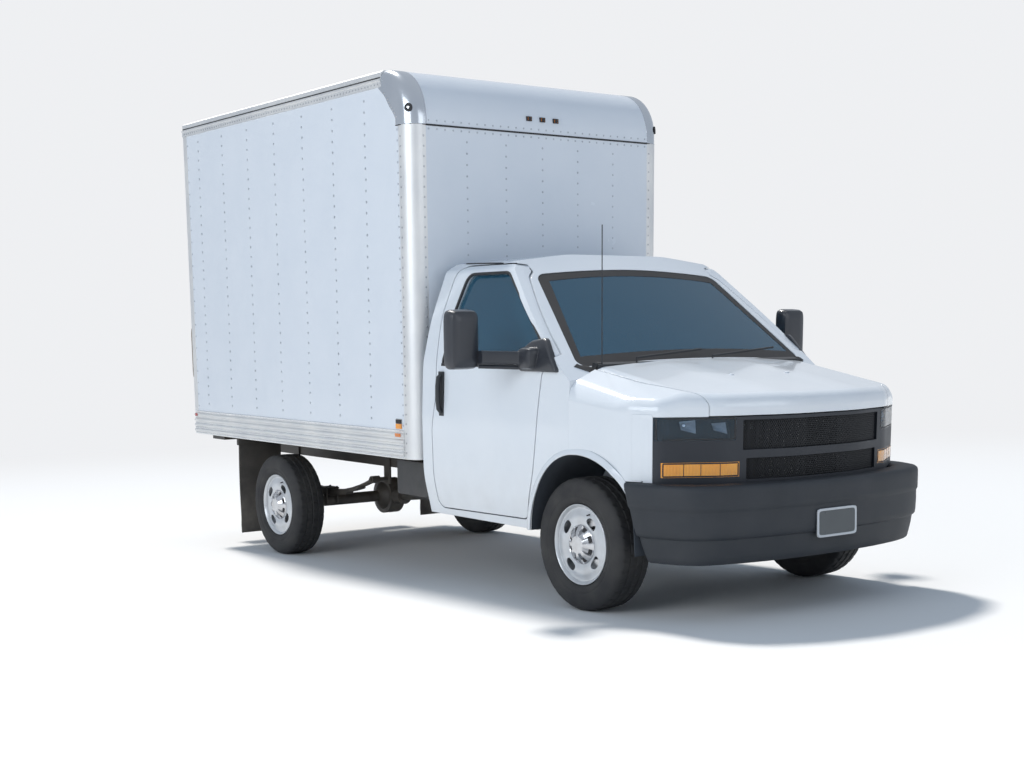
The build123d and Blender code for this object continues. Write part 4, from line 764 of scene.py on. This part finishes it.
def steel_wheel():
    b, cuts = Build(), Build()
    b.lathe([(203, 78), (210, 86), (214, 94), (219, 97), (222, 95), (221, 88), (205, 80), (201, 60),
             (192, 40), (192, -60), (205, -88), (219, -95), (222, -93), (221, -99), (203, -92), (187, -64),
             (187, 36), (182, 72), (172, 79), (150, 83), (122, 80), (104, 74), (60, 74), (60, 80), (103, 80),
             (120, 86), (150, 90), (174, 86), (190, 78)], (0, 0, 0), (0, 1, 0), 96)
    for quarter in range(4):
        hole = []
        for t in turns(28):
            a = math.radians(52 + 90 * quarter) + 0.28 * math.copysign(abs(math.cos(t)) ** 0.75, math.cos(t))
            r = 150 + 24 * math.sin(t) - 6 * math.cos(t) ** 2
            hole.append((r * math.cos(a), r * math.sin(a)))
        cuts.join([[(x, y, z) for x, z in hole] for y in (60, 110)])
    blank, cutter = new_object("wheel_blank", b.v, b.f), new_object("hole_cutter", cuts.v, cuts.f)
    mod = blank.modifiers.new("holes", "BOOLEAN")
    mod.operation, mod.object, mod.solver = "DIFFERENCE", cutter, "EXACT"
    cut = blank.evaluated_get(bpy.context.evaluated_depsgraph_get()).to_mesh()
    made = [v.co.copy() for v in cut.vertices], [list(q.vertices) for q in cut.polygons]
    for ob in (blank, cutter):
        bpy.data.objects.remove(ob)
    return made


def wheel_cap(seg=128):
    """The fluted cap and its dark slots. In each flute three points of the profile lie deeper."""
    profile = [(60, 76), (108, 80), (109, 84), (104, 89), (98, 93), (78, 108), (70, 113), (48, 116),
               (24, 117.5), (0.2, 118)]
    flute = profile[:4] + [(97, 84), (80, 86), (74, 92)] + profile[7:]
    cap, dark = Build(), Build()
    cap.join([[(r * math.cos(t), a, r * math.sin(t)) for r, a in (flute if 4 <= i % 16 < 12 else profile)]
              for i, t in enumerate(turns(seg))], wrap=True, closed=False, ends=True)
    for slot in range(8):
        a0, a1 = (math.radians((slot * 16 + a) * 360 / seg) for a in (4.3, 10.7))
        outline = ((a0, 0), ((a0 + a1) / 2, 0), (a1, 0), (a1, 1.5), ((a0 + a1) / 2, 1.5), (a0, 1.5))
        dark.join([[(r * math.cos(t), a + h, r * math.sin(t)) for t, h in outline]
                   for r, a in ((99, 84.5), (80, 87), (75, 91))])
    return cap.v, cap.f, dark.v, dark.f


TYRE, DISC, CAPS = treaded_tyre(), steel_wheel(), wheel_cap()
for wheel, axle_x, s in WHEELS:
    for name, mat, slot, verts, faces, gone in (
            ("treaded_tyre", "tyre", "tyre", *TYRE, [f"tyre_{wheel}"]),
            ("steel_wheel", "steel_rim", "steel_rim", *DISC, [f"rim_{wheel}"]),
            ("fluted_cap", "hub_chrome", "hub_chrome", *CAPS[:2], ()),
            ("cap_slots", "seal", "rubber_black", *CAPS[2:], ())):
        placed = [(axle_x + x / 1000, s * (WHEEL_Y + y / 1000), WHEEL_Z + z / 1000) for x, y, z in verts]
        piece(f"{name}_{wheel}", placed, faces, mat, f"wheel_{wheel}", slot, replaces=gone)

# Front plate: pale raised frame round a dark blank field, four screws
low, high = (Vector(corner) * 1000 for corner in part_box("front_plate"))


def plate_ring(x, inset):
    middle, half = (low + high) / 2, (high - low) / 2
    return [(x, a, middle.z + c) for a, c in soft_box(half.y - inset, half.z - inset, 48, 0.16)]


b = Build(metres)
b.join([plate_ring(high.x - x, d) for x, d in ((8, 0), (2, 0), (0.3, 1.5), (0.3, 11), (3.5, 13))])
b.done("blank_plate", "plate_white", replaces=["front_plate"])
b = Build(metres)
b.join([plate_ring(high.x - x, 12.5) for x in (4, 3)])
for y in (-90, 90):
    for z in (low.z + 22, high.z - 22):
        b.dome((high.x - 3.2, y, z), AHEAD, 6, 2.4, 10)
b.done("plate_field", "plate_field")


# Seats: each cover is blown up as cloth on the left seat and mirrored for the right one

def left_half(node):
    """The solid of a CAD node on the left side, as verts and faces in metres."""
    src = NODES[node].data
    keep = [v.index for v in src.vertices if v.co.y > 0]
    new = {i: k for k, i in enumerate(keep)}
    return ([src.vertices[i].co.copy() for i in keep],
            [[new[i] for i in p.vertices] for p in src.polygons if all(i in new for i in p.vertices)])


CLOTH = {"quality": 4, "mass": 0.25, "tension_stiffness": 12, "compression_stiffness": 8,
         "bending_stiffness": 0.4, "use_pressure": True, "uniform_pressure_force": 4,
         "vertex_group_mass": "held"}


def blow_up(name, node, cap, pin, frames=20):
    """Cloth over a CAD cushion: remeshed, pressed out from inside, its movement capped."""
    ob = new_object(name, *left_half(node), weld=0.00005)
    bpy.context.view_layer.objects.active = ob
    ob.select_set(True)
    rem = ob.modifiers.new("remesh", "REMESH")
    rem.mode = "VOXEL"
    rem.voxel_size = 0.012
    bpy.ops.object.modifier_apply(modifier=rem.name)
    mesh = ob.data
    middle = sum((v.co for v in mesh.vertices), Vector()) / len(mesh.vertices)
    start = [v.co.copy() for v in mesh.vertices]
    for v in mesh.vertices:
        v.co = middle + (v.co - middle) * 0.975
    moved = [v.co.copy() for v in mesh.vertices]
    group = ob.vertex_groups.new(name="held")
    group.add([i for i, co in enumerate(start) if pin(co, middle)], 1.0, "ADD")
    cloth = ob.modifiers.new("cloth", "CLOTH")
    for key, value in CLOTH.items():
        setattr(cloth.settings, key, value)
    cloth.settings.effector_weights.gravity = 0
    cloth.point_cache.frame_start, cloth.point_cache.frame_end = 1, frames
    for frame_no in range(1, frames + 1):
        bpy.context.scene.frame_set(frame_no)
    dg = bpy.context.evaluated_depsgraph_get()
    moved = [v.co.copy() for v in ob.evaluated_get(dg).data.vertices]
    ob.modifiers.remove(cloth)
    bpy.context.scene.frame_set(1)
    verts = []
    for was, now in zip(start, moved):
        d = now - was
        if d.length > cap:
            d = d.normalized() * cap
        verts.append(was + d * 0.9)
    faces = [list(p.vertices) for p in mesh.polygons]
    bpy.data.objects.remove(ob)
    faces += [[i + len(verts) for i in reversed(f)] for f in faces]
    made = piece(name, verts + sided(-1, verts), faces, "seat_cloth", replaces=[node])
    sub = made.modifiers.new("subdivision", "SUBSURF")
    sub.levels = sub.render_levels = 1


blow_up("padded_cushions", "seat_cushions", 0.024, lambda c, m: c.z < m.z - 0.045)
blow_up("padded_backs", "seat_backs", 0.022, lambda c, m: c.x < m.x - 0.16)
b = Build()
for y in (-560, -320, 320, 560):
    b.tube([(-1190, y, 991), (-1080, y, 997), (-900, y, 996), (-775, y, 985)], 3, 6)
    b.tube([(-1140, y, 1040), (-1180, y, 1200), (-1226, y, 1380), (-1262, y, 1530)], 3, 6)
b.done("seat_seams", "seal", slot="seat_cloth")

# Cab inside: instrument hood, vents, radio, belts and door trim
b = Build()
b.box(-452, -330, 300, 590, 1236, 1284)
for y in (-760, -200, 200, 700):
    b.box(-486, -470, y - 50, y + 50, 1150, 1212)
b.box(-486, -474, -110, 110, 1040, 1120)
b.done("dash_fittings", "black_plastic", smooth=False, slot="dash_grey")
b = Build()
for s in (-1, 1):
    b.tube(sided(s, ((-1420, 800, 1780), (-1405, 815, 1500), (-1380, 800, 1150), (-1330, 760, 800))), 14, 6)
b.done("seat_belts", "seal", slot="seat_cloth")
for s, hand in SIDES:
    b = Build()
    b.box(-1300, -420, s * 930 - 8, s * 930 + 8, 700, 1290)
    b.box(-1150, -700, s * 900 - 22, s * 900 + 22, 1020, 1080)
    b.done(f"door_trim_{hand}", "trim_grey", f"door_{hand}", smooth=False)

# Headlights: two pale reflector panels and a bulb behind each lens
for s, hand in SIDES:
    b, bulb = Build(unchanged), Build(unchanged)
    for corners in (((820, 1054), (750, 1063), (746, 992), (812, 1012)),
                    ((680, 1044), (613, 1049), (602, 989), (669, 1008))):
        grid = []
        for i in range(7):
            for j in range(7):
                y, z = between(corners, i / 6, j / 6)
                hit, n = from_front(s * y, z)
                dish = 0.016 + 0.012 * math.sin(math.pi * i / 6) * math.sin(math.pi * j / 6)
                grid.append((hit, -n * dish, -n * 0.004))
        b.sheet(grid, 7, 7)
    hit, n = from_front(s * 800, 1036)
    bulb.lathe([(0.0001, 0.004), (0.008, 0.003), (0.011, -0.004), (0.0001, -0.006)], hit - n * 0.012, n, 20,
               closed=False)
    b.done(f"headlight_reflectors_{hand}", "reflector")
    bulb.done(f"headlight_bulb_{hand}", "chrome")

# Lamp borders and the divisions of the turn signals
b = Build(unchanged)
for s in (-1, 1):
    for y0, y1, z0, z1 in ((566, 914, 964, 1070), (546, 890, 775, 841)):
        for ya, za, yb, zb, count in ((y0, z0, y1, z0, 16), (y0, z1, y1, z1, 16), (y0, z0, y0, z1, 4),
                                      (y1, z0, y1, z1, 4)):
            b.ribbon(front_line(s * ya, za, s * yb, zb, count), 0.007, 0.0006, 0.01)
    for y in (640, 725, 800):
        b.ribbon(front_line(s * y, 776, s * y, 840, 3), 0.0035, 0.0006, 0.006)
b.done("lamp_borders", "seal", smooth=False, slot="grille_black")

# Mud flaps: longer and further back than the plain ones, bowed by their own weight
b = Build()
for s in (1, -1):
    rings = []
    for i in range(13):
        z = -8 + 713 * i / 12
        x = -4085 - 14 * math.sin(math.pi * i / 12) - (8 if i < 2 else 0)
        rings.append([(x, s * 992, z), (x, s * 640, z), (x + 10, s * 640, z), (x + 10, s * 992, z)])
    b.join(rings)
    b.box(-4101, -4071, s * 1000, s * 632, 664, 709)
b.done("rubber_flaps", "rubber_black", replaces=["mud_flaps"], smooth=False)

# Grille: a fine crossed screen over the bars of each band
b = Build(unchanged)
for z0, z1, half_y in ((905, 1058, 519), (752, 862, 499)):
    height = z1 - z0
    for y in steps(-half_y - height * 0.6, half_y, 12.5):
        for way in (-1, 1):
            line = []
            for i in range(9):
                across = y + height * 0.6 * (i / 8 if way > 0 else 1 - i / 8)
                if abs(across) < half_y - 3:
                    lower, upper = from_front(across, z0 + 4)[0], from_front(across, z1 - 4)[0]
                    share = ((height - 2) * i / 8 - 3) / (height - 8)
                    line.append((lower.lerp(upper, share) + body_way(0.003, 0, 0), body_way(*AHEAD)))
            if len(line) > 1:
                b.ribbon(line, 0.0048, 0.0012, 0.0016)
b.done("grille_screen", "screen", smooth=False)


# Bumper: soft top ledge, crease, set-back valance, and ends that slant with the arch

def bumper_line(z, inset, end_x, count=72):
    """The bumper's plan at one height, from the right end round the front to the left end."""
    half = [(end_x, 996 - inset), (520, 996 - inset), (620, 972 - inset),
            (800 - inset * 0.7, 882 - inset * 0.7), (880 - inset, 700), (930 - inset, 450),
            (954 - inset, 200), (958 - inset, 0)]
    pts = [Vector((x, -y)) for x, y in half] + [Vector((x, y)) for x, y in reversed(half[:-1])]
    for _ in range(3):
        fine = [pts[0]]
        for p, q in zip(pts, pts[1:]):
            fine += [p.lerp(q, 0.25), p.lerp(q, 0.75)]
        pts = fine + [pts[-1]]
    long = [0.0]
    for p, q in zip(pts, pts[1:]):
        long.append(long[-1] + (q - p).length)
    out, j = [], 0
    for i in range(count + 1):
        d = long[-1] * i / count
        while j < len(pts) - 2 and long[j + 1] < d:
            j += 1
        q = pts[j].lerp(pts[j + 1], (d - long[j]) / max(1e-6, long[j + 1] - long[j]))
        out.append((q.x, q.y, z))
    return out


rows = [bumper_line(*row) for row in (  # height, inset of the face, x of the ends
    (738, 150, 384), (742, 46, 384), (740, 18, 382), (732, 6, 384), (718, 1, 390), (690, 0, 400),
    (640, 0, 416), (618, 0, 424), (611, 5, 427), (604, 7, 430), (560, 6, 446), (500, 8, 468), (478, 10, 476),
    (470, 16, 479), (462, 28, 482), (420, 34, 496), (370, 44, 513), (340, 52, 523), (330, 64, 527))]
inner = [[(x - 14 if x > 500 else x, y * 0.985, z + (6 if z < 400 else -8)) for x, y, z in row]
         for row in reversed(rows)]
b = Build()
b.join(rows + inner, wrap=True, closed=False, ends=True)
b.done("nose_bumper", "bumper", replaces=["front_bumper"])

# White skin behind each headlight, and the dark trim at the foot of each windshield pillar
SHOULDER = skin_of("cab_shell", "cowl_panel", "front_fenders", "hood")
CORNER = skin_of("front_lamps", "grille", "front_fenders", "hood")
for s, hand in SIDES:
    b = Build(unchanged)
    b.patch(CORNER, sided(s, ((418, 930, 742), (528, 930, 742), (528, 930, 1092), (418, 930, 1092))),
            (0, -s, 0), 14, 40, 1.6, 5)
    b.done(f"fender_corner_{hand}", "white_paint")
    b = Build(unchanged)
    b.patch(SHOULDER, sided(s, ((-134, 904, 1400), (-176, 800, 1400), (-64, 770, 1400), (-58, 800, 1400))),
            DOWN, 8, 8, 3, 4)
    b.done(f"cowl_corner_{hand}", "seal")

# Door trim outside: drip rail on the cab over the door and down the pillar, belt moulding under the glass
RAIL = ((-1386, 1916), (-1127, 1909), (-950, 1902), (-870, 1895), (-824, 1884), (-786, 1863), (-766, 1846))
for s, hand in SIDES:
    door = skin_of(f"cab_door_{hand}", "cab_shell")
    inward = (0, -s, 0)
    b = Build(unchanged)
    b.ribbon(traced(surface(SHELL, (x0 + (x1 - x0) * i / 6, s * 1500, z0 + (z1 - z0) * i / 6), inward)
                    for (x0, z0), (x1, z1) in zip(RAIL, RAIL[1:]) for i in range(6)), 0.010, 0.004, 0.006)
    b.done(f"drip_rail_{hand}", "seal")
    b = Build(unchanged)
    b.ribbon(traced(surface(door, (-1300 + 900 * i / 23, s * 1500, 1316), inward) for i in range(24)),
             0.016, 0.003, 0.006)
    b.done(f"belt_moulding_{hand}", "seal", f"door_{hand}")

# Hood: washer nozzles near its rear edge
b = Build(metres)
HOOD = skin_of("hood")
for y in (-217, 217):
    hit, n = surface(HOOD, (374, y, 2000), DOWN)
    b.dome(hit * 1000 - n * 2, (0.15, 0, 1), 15, 9, 14)
b.done("washer_nozzles", "white_paint", "hood")

# Wheels: valve stems
VALVE_TURN = math.radians(67)
for wheel, axle_x, s in WHEELS:
    foot, tip = (Vector((axle_x * 1000 + r * math.cos(VALVE_TURN), s * (WHEEL_Y * 1000 + out),
                         WHEEL_Z * 1000 + r * math.sin(VALVE_TURN))) for r, out in ((184, 70), (178, 100)))
    b = Build(metres)
    b.tube([foot, foot.lerp(tip, 0.5), foot.lerp(tip, 0.52), tip], [5.5, 4.5, 3.6, 3.6], 10)
    b.done(f"valve_{wheel}", "seal", f"wheel_{wheel}", slot="rubber_black")

# Rear door: hinge plates and rollers between the slats, tracks, frame rivets, latch, handles, lamp rims
SLAT = (BOX_TOP - 150 - FLOOR_TOP - 2) / 8
b = Build()
for i in range(1, 8):
    z = FLOOR_TOP + 1 + SLAT * i
    for y in (-900, -450, 0, 450, 900):
        b.box(BOX_REAR + 28, BOX_REAR + 34, y - 30, y + 30, z - 32, z + 32)
    for s in (-1, 1):
        b.tube([(BOX_REAR + 40, s * 905, z), (BOX_REAR + 40, s * 940, z)], 10, 12)
b.done("door_hinges", "steel_bare", smooth=False, slot="mill_aluminium")
b = Build()
for s in (-1, 1):
    b.box(BOX_REAR + 62, BOX_REAR + 68, s * 960 - 8, s * 960 + 8, 900, 2900)
    for z in (960, 1010, 1300, 1600, 1900, 2200, 2500, 2800, 2900):
        b.dome((BOX_REAR, s * 975, z), BACK, 8, 3.4)
        b.dome((BOX_REAR, s * 950, z + 30), BACK, 8, 3.4)
for y in range(-900, 901, 120):
    b.dome((BOX_REAR, y, 3010), BACK, 8, 3.4)
b.done("rear_frame_rivets", "rivet_bare")
b, rims = Build(), Build()
latch = FLOOR_TOP + 1 + SLAT * 0.5
b.box(BOX_REAR - 17, BOX_REAR - 13, -52, 52, latch - 30, latch + 30)
b.tube([(BOX_REAR - x, y, latch) for x, y in ((18, -30), (30, -28), (32, 0), (30, 28), (18, 30))], 6, 8)
for s in (-1, 1):
    b.tube([(BOX_REAR - x, s * 975, z) for x, z in
            ((2, 1150), (60, 1165), (66, 1200), (66, 1500), (60, 1535), (2, 1550))], 12, 10)
    for y in (560, 690):
        rims.lathe([(47, 0), (54, 0), (55, 4), (50, 7), (46, 5)], (BOX_REAR - 12, s * y, 790), BACK, 32)
b.done("door_latch_and_handles", "steel_bare")
rims.done("tail_lamp_rims", "seal")

# Step bumper: raised tread bars
b = Build()
for i in range(22):
    y = -730 + 1460 * i / 21
    b.box(BOX_REAR - 221, BOX_REAR - 30, y - 5, y + 5, 690, 693)
b.done("step_tread", "steel_bare", smooth=False)

# Under the hood: battery, filter box with its duct, and hoses on the engine block
b = Build()
b.box(300, 520, 330, 560, 800, 1010)
b.box(310, 510, 340, 550, 1010, 1016)
b.done("engine_bay_battery", "black_plastic", smooth=False)
b = Build()
b.lathe([(0.1, 0), (150, 0), (160, 8), (160, 62), (150, 72), (0.1, 78)], (-120, 0, 941), UP, 40,
        closed=False)
b.tube([(20, -40, 985), (160, -120, 1000), (320, -240, 990), (430, -420, 960)], [48, 46, 44, 50], 18)
b.box(360, 520, -600, -400, 830, 1010)
b.done("engine_bay_intake", "black_plastic")
b = Build()
b.tube([(190, 120, 880), (330, 150, 930), (520, 210, 950), (640, 230, 930)], 24, 14)
b.tube([(190, -140, 620), (360, -170, 590), (540, -210, 620), (640, -230, 660)], 26, 14)
b.done("engine_bay_hoses", "seal", slot="rubber_black")

# Cab ceiling: visors
b = Build()
for s in (-1, 1):
    b.box(-1010, -870, s * 400 - 210, s * 400 + 210, 1880, 1900)
b.done("sun_visors", "trim_grey")

# Floor: lit near the truck, fading to the pale backdrop for camera rays
PALE = (0.86, 0.87, 0.89, 1)
bpy.ops.mesh.primitive_plane_add(size=90, location=(0, 0, -0.0005))
floor = bpy.context.object
floor.name = "studio_floor"
finish, tree, place = new_material("studio floor")
plain = tree.nodes["Principled BSDF"]
feed(tree, plain, {"Base Color": (0.80, 0.79, 0.77, 1), "Roughness": 0.85})
far = add(tree, "VectorMath", {0: place}, operation="LENGTH").outputs["Value"]
fade = add(tree, "MapRange", {"Value": far, "From Min": 6.0, "From Max": 17.0},
           interpolation_type="SMOOTHSTEP")
camera_ray = add(tree, "LightPath").outputs["Is Camera Ray"]
share = add(tree, "Math", {0: fade, 1: camera_ray}, operation="MULTIPLY")
feed(tree, tree.nodes["Material Output"], {"Surface": add(tree, "MixShader", {
    "Fac": share, 1: plain, 2: add(tree, "Emission", {"Color": PALE})})})
floor.data.materials.append(finish)


def light(name, kind, way, power, colour, place=(0, 0, 0), size=None):
    """A lamp that shines along a way. One with a size is a rectangle."""
    data = bpy.data.lights.new(name, kind)
    data.energy, data.color = power, colour
    if size:
        data.shape = "RECTANGLE"
        data.size, data.size_y = size
    ob = bpy.data.objects.new(name, data)
    bpy.context.scene.collection.objects.link(ob)
    ob.location = place
    ob.rotation_euler = Vector(way).to_track_quat("-Z", "Y").to_euler()
    return data


light("key", "SUN", (0.56, -0.07, -0.82), 3.2, (1.0, 0.97, 0.93)).angle = 0.10
light("side", "AREA", (-3.0, 11.5, -4.0), 440, (0.90, 0.95, 1.0), (3.0, -11.5, 5.5), (8, 5))
light("front", "AREA", (-10.5, -2.0, -2.8), 90, (0.93, 0.96, 1.0), (12.0, 2.0, 4.0), (6, 4))

# World: blue-grey sky light, seen as the pale backdrop by the camera and half so in reflections
world = bpy.data.worlds.new("studio")
bpy.context.scene.world = world
world.use_nodes = True
tree = world.node_tree
sky = tree.nodes["Background"]
feed(tree, sky, {"Color": (0.54, 0.69, 0.90, 1), "Strength": 0.52})
path = add(tree, "LightPath")
half = add(tree, "Math", {0: path.outputs["Is Glossy Ray"], 1: 0.5}, operation="MULTIPLY")
seen = add(tree, "Math", {0: path.outputs["Is Camera Ray"], 1: half}, operation="MAXIMUM")
backdrop = add(tree, "Background", {"Color": PALE, "Strength": 1.0})
mixed = add(tree, "MixShader", {"Fac": seen, 1: sky, 2: backdrop})
feed(tree, tree.nodes["World Output"], {"Surface": mixed})

# Camera, from the solved view of the photo, which is 1024 x 768 pixels
WIDTH, HEIGHT, FOCAL, CENTRE_Y = 1024, 768, 1462.2143, 577.4453
cam_data = bpy.data.cameras.new("camera")
cam = bpy.data.objects.new("camera", cam_data)
bpy.context.scene.collection.objects.link(cam)
yaw, pitch, roll = math.radians(143.773), math.radians(-8.392), math.radians(-1.570)
fwd = Vector((math.cos(pitch) * math.cos(yaw), math.cos(pitch) * math.sin(yaw), math.sin(pitch)))
level = fwd.cross(Vector(UP)).normalized()
upright_way = level.cross(fwd)
right = level * math.cos(roll) + upright_way * math.sin(roll)
above = upright_way * math.cos(roll) - level * math.sin(roll)
cam.matrix_world = Matrix(((right.x, above.x, -fwd.x, 8.1667), (right.y, above.y, -fwd.y, -5.9313),
                           (right.z, above.z, -fwd.z, 1.3611), (0, 0, 0, 1)))
cam_data.sensor_width = 36
cam_data.lens = FOCAL / WIDTH * 36
cam_data.shift_x = -0.00035
cam_data.shift_y = (CENTRE_Y - HEIGHT / 2) / WIDTH
bpy.context.scene.camera = cam
bpy.context.scene.view_settings.view_transform = "Standard"
